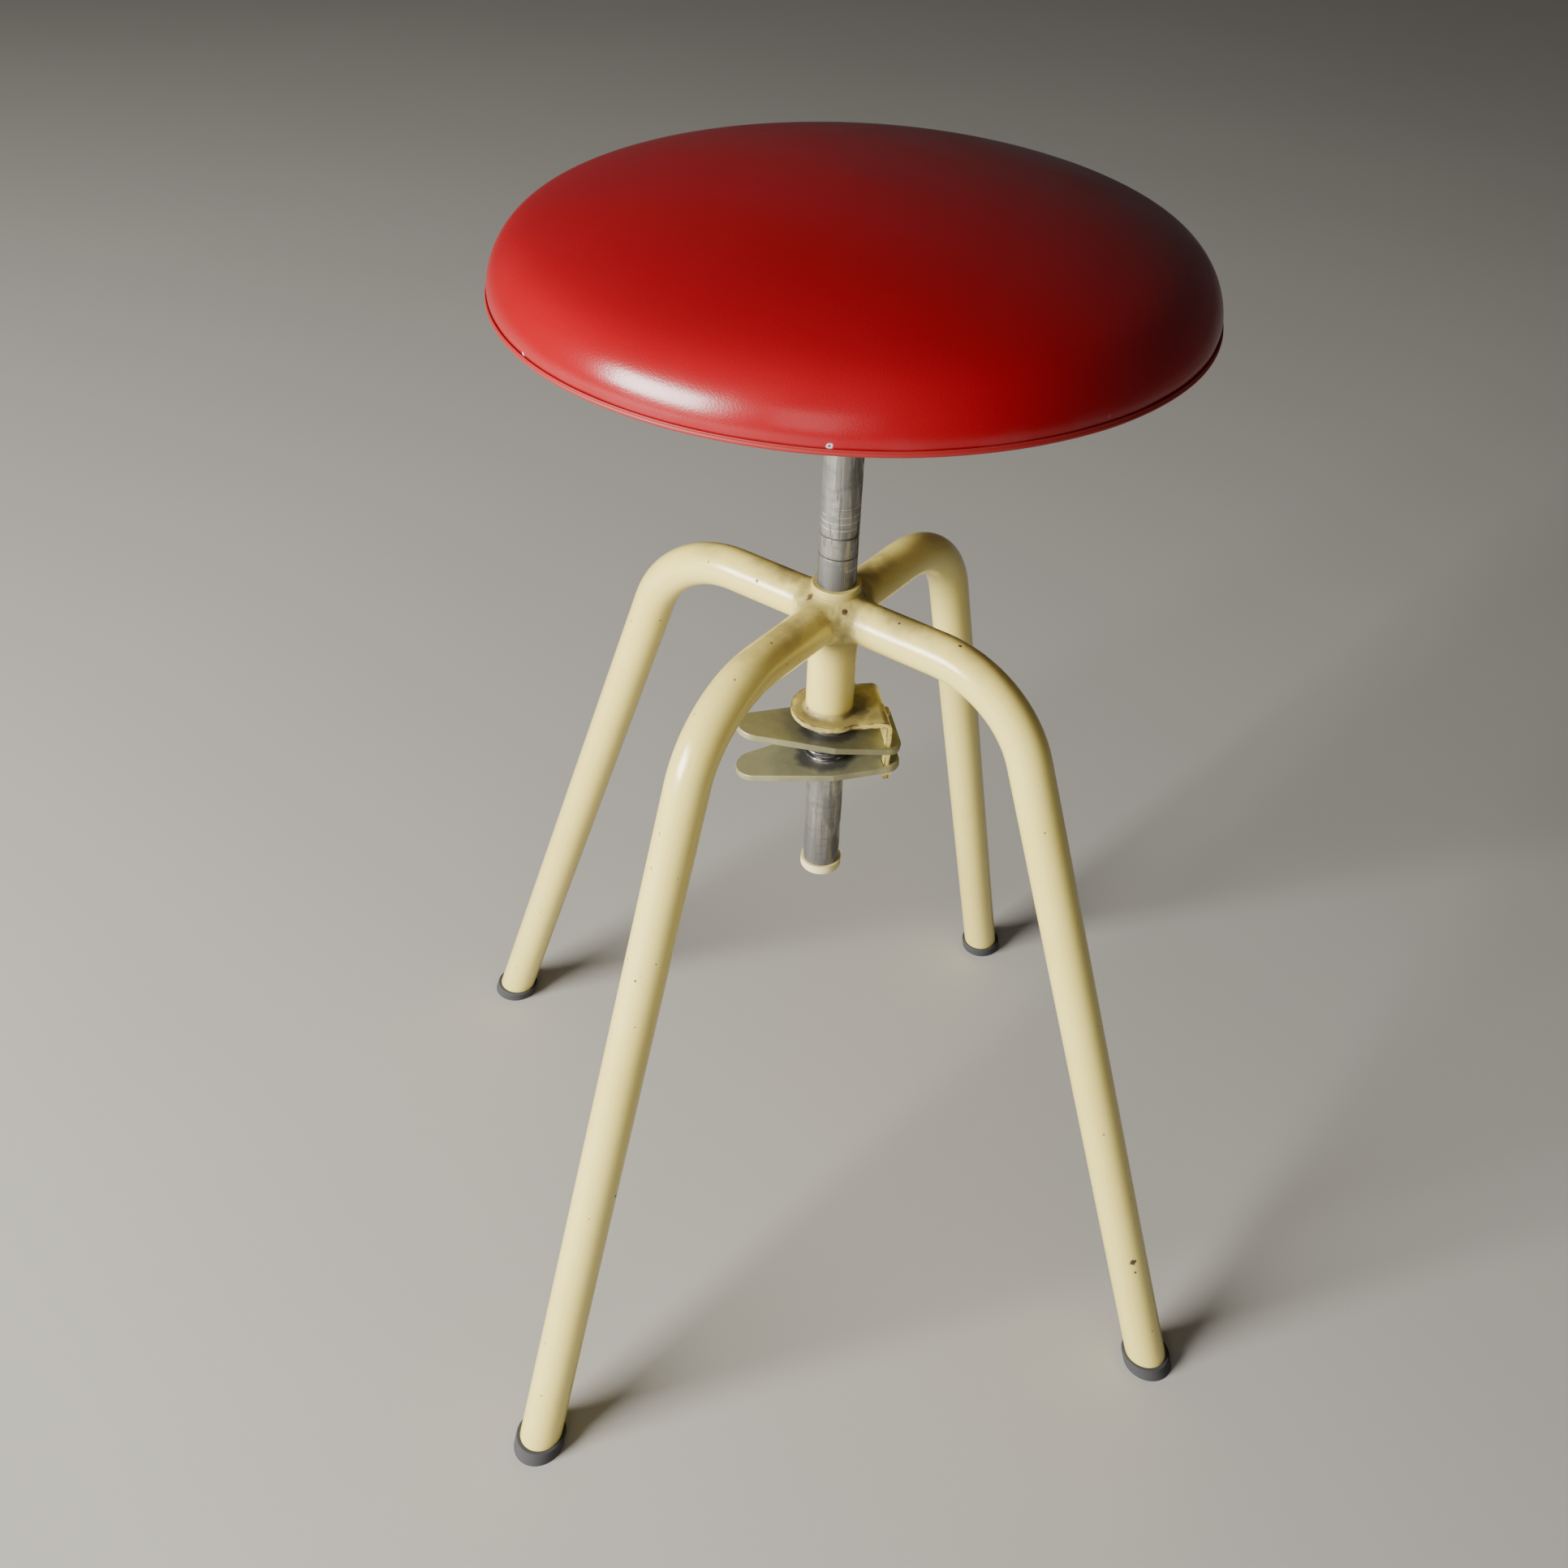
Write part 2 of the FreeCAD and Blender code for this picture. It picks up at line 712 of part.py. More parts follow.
def make_spring():
    """Open coil round the post between the levers.

    Each half turn is half a circle in a tilted plane, and the next one tilts the other way.
    """
    wire = S["spring_wire"].value
    coil_radius = post_radius.value + S["spring_post_gap"].value + wire / 2
    tilt = math.radians(S["lever_tilt"].value)
    middle = (upper_hinge_z.value + lower_hinge_z.value) / 2
    # the levers lean apart, so their inner faces are closest at the coil's prong side
    rise = (prong_middle_x.value - coil_radius - wire / 2) * math.tan(tilt)
    upper_face = upper_hinge_z.value - middle - half_lever.value / math.cos(tilt) + rise
    reach = upper_face - S["spring_end_gap"].value - wire / 2
    step = 2 * reach / SPRING_HALF_TURNS
    bow = math.hypot(coil_radius, step / 2)
    edges = []
    for number in range(SPRING_HALF_TURNS):
        side = 1 if number % 2 == 0 else -1
        low = number * step
        start = FreeCAD.Vector(coil_radius * side, 0, low)
        halfway = FreeCAD.Vector(0, bow * side, low + step / 2)
        end = FreeCAD.Vector(-coil_radius * side, 0, low + step)
        edges.append(Part.Arc(start, halfway, end).toShape())
    section = Part.Wire(
        Part.makeCircle(wire / 2, FreeCAD.Vector(coil_radius, 0, 0), FreeCAD.Vector(0, 1, 0))
    )
    solid = Part.Wire(edges).makePipeShell([section], True, True)
    spring = doc.addObject("Part::Feature", "clamp_spring")
    spring.Label = "clamp_spring"
    spring.Shape = solid
    spring.Placement = FreeCAD.Placement(
        FreeCAD.Vector(0, 0, middle - reach), FreeCAD.Rotation()
    )


# ---------------------------------------------------------------- seat


def dome_profile(inset):
    """Radii and heights of the dome's two tangent arcs, drawn inset from the seat's outside.

    Gives the side radius, the shoulder arc's radius and centre, the crown arc's radius and centre
    height, and the point where the two arcs meet.
    """
    shoulder = S["seat_shoulder_radius"]
    rise = S["seat_dome_height"]
    centre_x = S["seat_radius"] - shoulder
    crown = (centre_x * centre_x + rise * rise - shoulder * shoulder) / ((rise - shoulder) * 2)
    crown_z = seat_shoulder_z + rise - crown
    ratio = (crown - inset) / (crown - shoulder)
    meet_x = centre_x * ratio
    meet_z = crown_z + (seat_shoulder_z - crown_z) * ratio
    return {
        "side_x": S["seat_radius"] - inset,
        "shoulder": shoulder - inset,
        "centre_x": centre_x,
        "crown": crown - inset,
        "crown_z": crown_z,
        "top_z": crown_z + crown - inset,
        "meet": (meet_x, meet_z),
    }


def dome_bends(dome, first, downward):
    """Arc entries for the shoulder and crown, in the order in which the outline passes them."""
    shoulder = (dome["shoulder"], dome["centre_x"], seat_shoulder_z, downward)
    crown = (dome["crown"], ZERO, dome["crown_z"], downward)
    return {first: crown, first + 1: shoulder} if downward else {first: shoulder, first + 1: crown}


def make_cover():
    """Vinyl skin over the dome, stepped in behind the bead and turned under the board."""
    body = new_body("seat_cover")
    skin = S["cover_thickness"]
    outer = dome_profile(ZERO)
    inner = dome_profile(skin)
    hem_x = board_radius - S["cover_hem_width"]
    profile = new_sketch(body, "XZ_Plane", "cover_profile")
    points = [
        (ZERO, outer["top_z"]),
        outer["meet"],
        (outer["side_x"], seat_shoulder_z),
        (outer["side_x"], step_top),
        (step_x, step_top),
        (step_x, seat_base),
        (hem_x, seat_base),
        (hem_x, board_bottom),
        (step_x - skin, board_bottom),
        (step_x - skin, step_top + skin),
        (inner["side_x"], step_top + skin),
        (inner["side_x"], seat_shoulder_z),
        inner["meet"],
        (ZERO, inner["top_z"]),
    ]
    bends = dome_bends(outer, 0, True)
    bends.update(dome_bends(inner, 11, False))
    add_path(profile, points, bends=bends)
    revolve(body, profile, "cover_skin")


def make_foam():
    """Foam dome that sits on the board and wraps its edge."""
    body = new_body("seat_foam")
    gap = S["foam_gap"]
    dome = dome_profile(S["cover_thickness"] + gap)
    edge_x = step_x - S["cover_thickness"] - gap
    edge_top = step_top + S["cover_thickness"] + gap
    profile = new_sketch(body, "XZ_Plane", "foam_profile")
    add_path(
        profile,
        [
            (ZERO, dome["top_z"]),
            dome["meet"],
            (dome["side_x"], seat_shoulder_z),
            (dome["side_x"], edge_top),
            (edge_x, edge_top),
            (edge_x, board_bottom + gap),
            (board_radius + gap, board_bottom + gap),
            (board_radius + gap, board_top + gap),
            (ZERO, board_top + gap),
        ],
        bends=dome_bends(dome, 0, True),
    )
    revolve(body, profile, "foam_dome")


def make_bead():
    """Thin welt in the step along the seat's lower edge."""
    bead = doc.addObject("Part::Torus", "cover_bead")
    bead.Label = "cover_bead"
    bead.setExpression("Radius1", bead_ring_radius.text)
    bead.setExpression("Radius2", S["bead_radius"].text)
    height = seat_base + S["bead_radius"]
    bead.Placement = FreeCAD.Placement(FreeCAD.Vector(0, 0, height.value), FreeCAD.Rotation())


def screw_points(height):
    """Centres of the screws, evenly spaced on their circle."""
    circle = S["screw_circle_radius"].value
    angles = [2 * math.pi * (number + 0.5) / SCREW_COUNT for number in range(SCREW_COUNT)]
    return [FreeCAD.Vector(circle * math.cos(a), circle * math.sin(a), height) for a in angles]


def drill_screw_holes(body, name, radius):
    """Cut the four screw holes through a round piece of the seat."""
    sketch = new_sketch(body, "XY_Plane", name + "_circles")
    for number in range(SCREW_COUNT):
        angle = as_size(360.0 * (number + 0.5) / SCREW_COUNT)
        circle = S["screw_circle_radius"]
        add_circle(sketch, radius, circle * cosine(angle), circle * sine(angle))
    pocket_through(body, sketch, name)


def make_plate():
    body = new_body("seat_plate")
    sketch = new_sketch(body, "XY_Plane", "plate_outline", plate_bottom)
    add_circle(sketch, S["plate_radius"])
    pad(body, sketch, "plate_disc", S["plate_thickness"])
    doc.recompute()
    drill_screw_holes(body, "plate_holes", S["screw_shank_radius"] + S["screw_hole_gap"])


def make_board():
    body = new_body("seat_board")
    sketch = new_sketch(body, "XY_Plane", "board_outline", board_bottom)
    add_circle(sketch, board_radius)
    pad(body, sketch, "board_disc", S["board_thickness"])
    doc.recompute()
    drill_screw_holes(body, "board_holes", S["screw_shank_radius"])


def make_screws():
    """Round-head screws up through the plate into the board, one solid each."""
    head = S["screw_head_height"].value
    head_radius = S["screw_head_radius"].value
    head_bottom = plate_bottom.value - head
    width = S["screw_slot_width"].value
    length = head_radius * 2
    solids = []
    for point in screw_points(head_bottom):
        button = Part.makeCylinder(head_radius, head, point)
        rim = [edge for edge in button.Edges if is_circle(edge)]
        rim = [edge for edge in rim if near(edge.CenterOfMass.z, head_bottom)]
        button = button.makeFillet(S["screw_head_round"].value, rim)
        corner = point - FreeCAD.Vector(length / 2, width / 2, 0)
        slot = Part.makeBox(length, width, S["screw_slot_depth"].value, corner)
        top = point + FreeCAD.Vector(0, 0, head)
        shank = Part.makeCylinder(S["screw_shank_radius"].value, S["screw_length"].value, top)
        solids.append(button.cut(slot).fuse(shank).removeSplitter())
    add_group("seat_screws", solids)


def make_staples():
    """Flat staple crowns that lie on the turned-under hem, one solid each."""
    wire = S["staple_wire"].value
    crown = S["staple_crown"].value
    ring = board_radius.value - S["staple_from_edge"].value
    bottom = seat_base.value - wire
    solids = []
    for number in range(STAPLE_COUNT):
        staple = Part.makeBox(wire, crown, wire, FreeCAD.Vector(ring, -crown / 2, bottom))
        staple.rotate(
            FreeCAD.Vector(0, 0, 0), FreeCAD.Vector(0, 0, 1), 360.0 * number / STAPLE_COUNT
        )
        solids.append(staple)
    add_group("cover_staples", solids)


def add_group(label, solids):
    """One node that holds several identical loose pieces."""
    group = doc.addObject("Part::Feature", label)
    group.Label = label
    group.Shape = Part.makeCompound(solids)
    group.Placement = FreeCAD.Placement()


# ---------------------------------------------------------------- build, check and write


def build():
    make_sleeve()
    for corner, azimuth in LEG_AZIMUTHS.items():
        make_leg(corner, azimuth)
        make_foot(corner, azimuth)
    make_post()
    make_end_cap()
    make_bracket()
    make_lever("upper_clamp_lever", upper_hinge_z, S["lever_tilt"].value)
    make_lever("lower_clamp_lever", lower_hinge_z, -S["lever_tilt"].value)
    make_spring()
    make_plate()
    make_board()
    make_screws()
    make_foam()
    make_cover()
    make_bead()
    make_staples()
    doc.recompute()


def sub_parts():
    """The document's finished pieces: bodies, and the primitives and shapes outside any body."""
    kinds = ("PartDesign::Body", "Part::Feature", "Part::Torus")
    return [item for item in doc.Objects if item.TypeId in kinds]


def check(pieces):
    for item in doc.Objects:
        if "Invalid" in item.State or "Error" in item.State:
            raise RuntimeError(item.Label + " did not recompute")
    for piece in pieces:
        if piece.Shape.isNull() or not piece.Shape.isValid() or not piece.Shape.Solids:
            raise RuntimeError(piece.Label + " has no valid solid")


build()
finished = sub_parts()
check(finished)
os.makedirs("parts", exist_ok=True)
for piece in finished:
    piece.Shape.exportStep(os.path.join("parts", piece.Label + ".step"))
    print(piece.Label, len(piece.Shape.Solids), round(piece.Shape.Volume, 1))
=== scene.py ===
"""Round work stool: upholstery, welds, clamp spring and finishes around its fixed metal frame.

Metres, +Z up, origin on the floor under the post's axis. Front is -Y, and the clamp bracket's
prongs are on the +X side.
"""
import logging
import math
from dataclasses import dataclass
from enum import Enum

import bpy
from mathutils import Matrix, Vector, noise


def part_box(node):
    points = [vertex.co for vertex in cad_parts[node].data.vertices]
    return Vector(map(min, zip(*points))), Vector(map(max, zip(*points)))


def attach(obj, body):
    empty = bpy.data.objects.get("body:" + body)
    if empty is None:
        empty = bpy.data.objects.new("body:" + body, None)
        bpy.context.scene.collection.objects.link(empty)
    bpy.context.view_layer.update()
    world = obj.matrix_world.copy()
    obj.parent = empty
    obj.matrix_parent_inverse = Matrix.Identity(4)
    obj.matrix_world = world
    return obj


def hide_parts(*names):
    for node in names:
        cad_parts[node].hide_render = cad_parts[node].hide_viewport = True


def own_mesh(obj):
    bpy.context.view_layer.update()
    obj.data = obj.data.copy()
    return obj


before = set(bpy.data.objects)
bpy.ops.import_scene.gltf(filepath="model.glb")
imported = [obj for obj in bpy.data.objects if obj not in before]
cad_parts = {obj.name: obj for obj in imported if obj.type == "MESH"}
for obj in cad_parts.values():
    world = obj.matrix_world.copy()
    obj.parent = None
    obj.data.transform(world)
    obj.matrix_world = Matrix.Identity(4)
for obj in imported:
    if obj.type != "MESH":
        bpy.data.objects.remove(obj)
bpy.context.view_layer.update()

LOG = logging.getLogger("work_stool")
MM = 0.001
TURN = 2 * math.pi
ARM_HEIGHT = 466 * MM  # the middle of the four arms

Colour = tuple[float, float, float]
Place = tuple[float, float, float]
Face = tuple[int, ...]
Shape = tuple[list[Vector], list[Face]]
Socket = bpy.types.NodeSocket
Tree = bpy.types.NodeTree
Material = bpy.types.Material
Piece = bpy.types.Object


# ------------------------ mesh building


def new_piece(name: str, shape: Shape) -> Piece:
    """Make a smooth-shaded object from corners and faces.

    Args:
        name: The piece's name.
        shape: Its corners in metres and its faces as corner numbers.

    Returns:
        The new object, linked to the scene.
    """
    mesh = bpy.data.meshes.new(name)
    mesh.from_pydata([tuple(corner) for corner in shape[0]], [], shape[1])
    mesh.validate()
    mesh.shade_smooth()
    piece = bpy.data.objects.new(name, mesh)
    bpy.context.scene.collection.objects.link(piece)
    return piece


def joined(shapes: list[Shape]) -> Shape:
    """Put several shapes in one, keeping their faces apart.

    Args:
        shapes: Corners and faces of each shape.

    Returns:
        One list of corners and one of faces.
    """
    corners: list[Vector] = []
    faces: list[Face] = []
    for part_corners, part_faces in shapes:
        start = len(corners)
        corners += part_corners
        faces += [tuple(start + number for number in face) for face in part_faces]
    return corners, faces


def around(angle: float, radius: float, height: float) -> Vector:
    """Give a point at an angle and a radius about the post's axis."""
    return Vector((radius * math.cos(angle), radius * math.sin(angle), height))


def lathe(profile: list[tuple[float, float]], segments: int) -> Shape:
    """Turn a profile about the post's axis, from a point on the axis to another one.

    Args:
        profile: Radii and heights; the first and last radius are 0.
        segments: Number of steps round the axis.

    Returns:
        Corners and faces of the closed skin, in rings after the first pole.
    """
    corners = [Vector((0, 0, profile[0][1]))]
    for radius, height in profile[1:-1]:
        for step in range(segments):
            angle = TURN * step / segments
            corners.append(around(angle, radius, height))
    corners.append(Vector((0, 0, profile[-1][1])))
    last = len(corners) - 1
    faces: list[Face] = []
    for step in range(segments):
        after = (step + 1) % segments
        faces.append((0, 1 + step, 1 + after))
        faces.append((last, last - segments + after, last - segments + step))
        for ring in range(len(profile) - 3):
            low = 1 + ring * segments
            high = low + segments
            faces.append((low + step, high + step, high + after, low + after))
    return corners, faces


def tube(path: list[Vector], across: list[Vector], radii: list[float], sides: int) -> Shape:
    """Sweep a round section along a path, and close both ends with flat caps.

    Args:
        path: Points along the tube's middle.
        across: A direction at each point that is never along the path.
        radii: The tube's radius at each point.
        sides: Number of corners round the section.

    Returns:
        Corners and faces of the tube.
    """
    corners: list[Vector] = []
    last = len(path) - 1
    for number, point in enumerate(path):
        along = (path[min(number + 1, last)] - path[max(number - 1, 0)]).normalized()
        side = along.cross(across[number]).normalized()
        up = side.cross(along)
        for step in range(sides):
            angle = TURN * step / sides
            corners.append(point + (side * math.cos(angle) + up * math.sin(angle)) * radii[number])
    faces: list[Face] = []
    for low in range(0, last * sides, sides):
        high = low + sides
        for step in range(sides):
            after = (step + 1) % sides
            faces.append((low + step, high + step, high + after, low + after))
    faces.append(tuple(range(sides)))
    faces.append(tuple(reversed(range(last * sides, (last + 1) * sides))))
    return corners, faces


def lump(point: Vector, scale: float, height: float) -> float:
    """Give smooth unevenness of about plus or minus height at a point."""
    return noise.noise(point * scale) * height


# ------------------------ shader building


@dataclass(frozen=True)
class Mark:
    """One chip, nick or stain: its place and its radius, in metres."""

    x: float
    y: float
    z: float
    size: float


class Graph:
    """Adds and joins nodes in one shader tree."""

    def __init__(self, tree: Tree) -> None:
        """Work on the given tree."""
        self.tree = tree

    def node(self, kind: str, **settings: object) -> bpy.types.Node:
        """Add a node and set its options.

        Args:
            kind: The node's type.
            settings: Its options, by name.

        Returns:
            The node.
        """
        made = self.tree.nodes.new(kind)
        for name, value in settings.items():
            setattr(made, name, value)
        return made

    def feed(self, socket: Socket, value: object) -> None:
        """Link a socket to another one, or set its own value.

        Args:
            socket: The input to feed.
            value: A socket to link to it, or its value.
        """
        if isinstance(value, Socket):
            self.tree.links.new(value, socket)
        else:
            socket.default_value = value

    def place(self) -> Socket:
        """Give the surface point in the object's own space, which stays with it as it moves."""
        return self.node("ShaderNodeTexCoord").outputs["Object"]

    def math(
        self, operation: str, first: object, second: object = 0.0
    ) -> Socket:
        """Combine two numbers.

        Args:
            operation: What to do with them.
            first: Number or socket.
            second: Number or socket.

        Returns:
            The result.
        """
        made = self.node("ShaderNodeMath", operation=operation)
        self.feed(made.inputs[0], first)
        self.feed(made.inputs[1], second)
        return made.outputs[0]

    def both(self, *masks: object) -> Socket:
        """Multiply masks together.

        Args:
            masks: Numbers or sockets from 0 to 1.

        Returns:
            Their product.
        """
        result = masks[0]
        for mask in masks[1:]:
            result = self.math("MULTIPLY", result, mask)
        return result

    def either(self, *masks: object) -> Socket:
        """Take the strongest of several masks.

        Args:
            masks: Numbers or sockets from 0 to 1.

        Returns:
            The highest of them.
        """
        result = masks[0]
        for mask in masks[1:]:
            result = self.math("MAXIMUM", result, mask)
        return result

    def blend(self, mask: object, first: object, second: object) -> Socket:
        """Mix two colours, the second one where the mask is 1.

        Args:
            mask: Number or socket from 0 to 1.
            first: Colour or socket shown where the mask is 0.
            second: Colour or socket shown where the mask is 1.

        Returns:
            The mixed colour.
        """
        made = self.node("ShaderNodeMix", data_type="RGBA")
        self.feed(made.inputs[0], mask)
        for socket, value in ((made.inputs[6], first), (made.inputs[7], second)):
            self.feed(socket, (*value, 1.0) if isinstance(value, tuple) else value)
        return made.outputs[2]

    def between(self, value: object, low: object, high: object) -> Socket:
        """Rise smoothly from 0 at low to 1 at high.

        Args:
            value: Number or socket to judge.
            low: Where the mask is 0.
            high: Where the mask is 1.

        Returns:
            The mask.
        """
        made = self.node("ShaderNodeMapRange", interpolation_type="SMOOTHSTEP")
        self.feed(made.inputs["Value"], value)
        self.feed(made.inputs["From Min"], low)
        self.feed(made.inputs["From Max"], high)
        return made.outputs["Result"]

    def level(self, mask: object, low: float, high: float) -> Socket:
        """Turn a mask into a number that goes from low to high.

        Args:
            mask: Number or socket from 0 to 1.
            low: The number where the mask is 0.
            high: The number where the mask is 1.

        Returns:
            The number.
        """
        made = self.node("ShaderNodeMapRange")
        self.feed(made.inputs["Value"], mask)
        self.feed(made.inputs["To Min"], low)
        self.feed(made.inputs["To Max"], high)
        return made.outputs["Result"]

    def noise(self, place: object, scale: object, detail: float = 3.0) -> Socket:
        """Give cloudy noise from 0 to 1.

        Args:
            place: The point it is taken at.
            scale: How fine it is, in waves a metre.
            detail: How many finer layers it has.

        Returns:
            The noise.
        """
        made = self.node("ShaderNodeTexNoise")
        made.inputs["Detail"].default_value = detail
        self.feed(made.inputs["Vector"], place)
        self.feed(made.inputs["Scale"], scale)
        return made.outputs["Fac"]

    def stretched(self, place: object, factors: object) -> Socket:
        """Multiply a place by a factor along each axis.

        Args:
            place: The point.
            factors: Three factors, or a socket of them.

        Returns:
            The stretched place.
        """
        made = self.node("ShaderNodeVectorMath", operation="MULTIPLY")
        self.feed(made.inputs[0], place)
        self.feed(made.inputs[1], factors)
        return made.outputs["Vector"]

    def marks(
        self, spot: Tree, marks: tuple[Mark, ...], grow: float = 1.0
    ) -> Socket:
        """Give one mask for several single marks.

        Args:
            spot: The node group of a single mark.
            marks: Where the marks are and how big.
            grow: Factor on all their sizes.

        Returns:
            The mask.
        """
        masks = [
            self.effect(spot, x=mark.x, y=mark.y, z=mark.z, size=mark.size * grow) for mark in marks
        ]
        return self.either(*masks)

    def effect(self, tree: Tree, **values: object) -> Socket:
        """Place a shared effect with its own values.

        Args:
            tree: The effect's node group.
            values: Its inputs, by name with underscores for spaces.

        Returns:
            The group's one output.
        """
        made = self.node("ShaderNodeGroup")
        made.node_tree = tree
        for name, value in values.items():
            self.feed(made.inputs[name.replace("_", " ").capitalize()], value)
        return made.outputs[0]


class Effects:
    """Node groups that several finishes share. Each one is built once."""

    rim_scale: float = 90.0
    wobble_scale: float = 700.0
    wobble: float = 0.0012
    torn_scale: float = 900.0
    solid_share: float = 0.6
    fine_share: float = 0.35

    def __init__(self) -> None:
        """Build every group."""
        self.blotches = self._blotches()
        self.streaks = self._streaks()
        self.edge_wear = self._edge_wear()
        self.near_axis = self._near_axis()
        self.height_band = self._height_band()
        self.facing_up = self._facing_up()
        self.specks = self._specks()
        self.grain = self._grain()
        self.spot = self._spot()

    @staticmethod
    def _start(
        name: str, inputs: dict[str, float], output: str
    ) -> tuple[Graph, dict[str, Socket], Socket]:
        """Start a node group with named number sockets.

        Args:
            name: The group's name.
            inputs: Input names and their first values.
            output: The name of its one output.

        Returns:
            Its graph, its inputs by name, and the socket that takes its result.
        """
        tree = bpy.data.node_groups.new(name, "ShaderNodeTree")
        for label, value in inputs.items():
            socket = tree.interface.new_socket(label, in_out="INPUT", socket_type="NodeSocketFloat")
            socket.default_value = value
        tree.interface.new_socket(output, in_out="OUTPUT", socket_type="NodeSocketFloat")
        graph = Graph(tree)
        entry = graph.node("NodeGroupInput")
        leave = graph.node("NodeGroupOutput")
        return graph, {label: entry.outputs[label] for label in inputs}, leave.inputs[0]

    def _blotches(self) -> Tree:
        """Soft cloudy patches.

        Returns:
            The node group.
        """
        graph, given, out = self._start("blotches", {"Scale": 10, "Low": 0.4, "High": 0.6}, "Mask")
        cloud = graph.noise(graph.place(), given["Scale"])
        graph.feed(out, graph.between(cloud, given["Low"], given["High"]))
        return graph.tree

    def _streaks(self) -> Tree:
        """Noise drawn out along the post's axis, or squeezed along it where Squeeze is over 1.

        Returns:
            The node group.
        """
        inputs = {"Scale": 100, "Squeeze": 0.1, "Low": 0.5, "High": 0.7}
        graph, given, out = self._start("streaks", inputs, "Mask")
        factors = graph.node("ShaderNodeCombineXYZ")
        factors.inputs[0].default_value = 1.0
        factors.inputs[1].default_value = 1.0
        graph.feed(factors.inputs[2], given["Squeeze"])
        place = graph.stretched(graph.place(), factors.outputs[0])
        cloud = graph.noise(place, given["Scale"], detail=4.0)
        graph.feed(out, graph.between(cloud, given["Low"], given["High"]))
        return graph.tree

    def _edge_wear(self) -> Tree:
        """Sharp outer edges, found by comparing the surface with its rounded self.

        Returns:
            The node group.
        """
        inputs = {"Radius": 0.001, "Low": 0.02, "High": 0.2}
        graph, given, out = self._start("edge wear", inputs, "Mask")
        rounded = graph.node("ShaderNodeBevel", samples=6)
        graph.feed(rounded.inputs["Radius"], given["Radius"])
        real = graph.node("ShaderNodeNewGeometry")
        compare = graph.node("ShaderNodeVectorMath", operation="DOT_PRODUCT")
        graph.feed(compare.inputs[0], rounded.outputs[0])
        graph.feed(compare.inputs[1], real.outputs["Normal"])
        turn = graph.math("SUBTRACT", 1.0, compare.outputs["Value"])
        graph.feed(out, graph.between(turn, given["Low"], given["High"]))
        return graph.tree

    def _near_axis(self) -> Tree:
        """1 within Inner of the post's axis, fading to 0 at Outer with a ragged rim.

        Returns:
            The node group.
        """
        inputs = {"Inner": 0.02, "Outer": 0.04, "Ragged": 0.0}
        graph, given, out = self._start("near axis", inputs, "Mask")
        place = graph.place()
        length = graph.node("ShaderNodeVectorMath", operation="LENGTH")
        graph.feed(length.inputs[0], graph.stretched(place, (1.0, 1.0, 0.0)))
        cloud = graph.math("SUBTRACT", graph.noise(place, self.rim_scale), 0.5)
        radius = graph.math("ADD", length.outputs["Value"], graph.both(cloud, given["Ragged"]))
        graph.feed(out, graph.between(radius, given["Outer"], given["Inner"]))
        return graph.tree

    def _height_band(self) -> Tree:
        """1 at a height, fading to 0 at Half width above and below it.

        Returns:
            The node group.
        """
        inputs = {"Height": 0.1, "Half width": 0.01}
        graph, given, out = self._start("height band", inputs, "Mask")
        split = graph.node("ShaderNodeSeparateXYZ")
        graph.feed(split.inputs[0], graph.place())
        above = graph.math("SUBTRACT", split.outputs["Z"], given["Height"])
        away = graph.math("ABSOLUTE", above)
        graph.feed(out, graph.between(away, given["Half width"], 0.0))
        return graph.tree

    def _facing_up(self) -> Tree:
        """Surfaces that look upward, where dust and grime settle.

        Returns:
            The node group.
        """
        graph, given, out = self._start("facing up", {"Low": 0.2, "High": 0.9}, "Mask")
        split = graph.node("ShaderNodeSeparateXYZ")
        graph.feed(split.inputs[0], graph.node("ShaderNodeNewGeometry").outputs["Normal"])
        graph.feed(out, graph.between(split.outputs["Z"], given["Low"], given["High"]))
        return graph.tree

    def _specks(self) -> Tree:
        """Small scattered spots of different sizes, fewer as Share goes down.

        Returns:
            The node group.
        """
        inputs = {"Scale": 120, "Size": 0.25, "Share": 0.3}
        graph, given, out = self._start("specks", inputs, "Mask")
        cells = graph.node("ShaderNodeTexVoronoi")
        place = graph.place()
        wobble = graph.node("ShaderNodeTexNoise")
        graph.feed(wobble.inputs["Vector"], place)
        wobble.inputs["Scale"].default_value = self.wobble_scale
        shifted = graph.node("ShaderNodeVectorMath", operation="MULTIPLY_ADD")
        graph.feed(shifted.inputs[0], wobble.outputs["Color"])
        shifted.inputs[1].default_value = (self.wobble,) * 3
        graph.feed(shifted.inputs[2], place)
        graph.feed(cells.inputs["Vector"], shifted.outputs["Vector"])
        graph.feed(cells.inputs["Scale"], given["Scale"])
        split = graph.node("ShaderNodeSeparateColor")
        graph.feed(split.inputs[0], cells.outputs["Color"])
        size = graph.both(given["Size"], split.outputs[1])
        spot = graph.between(cells.outputs["Distance"], size, graph.both(size, self.solid_share))
        chosen = graph.math("LESS_THAN", split.outputs[0], given["Share"])
        graph.feed(out, graph.both(spot, chosen))
        return graph.tree

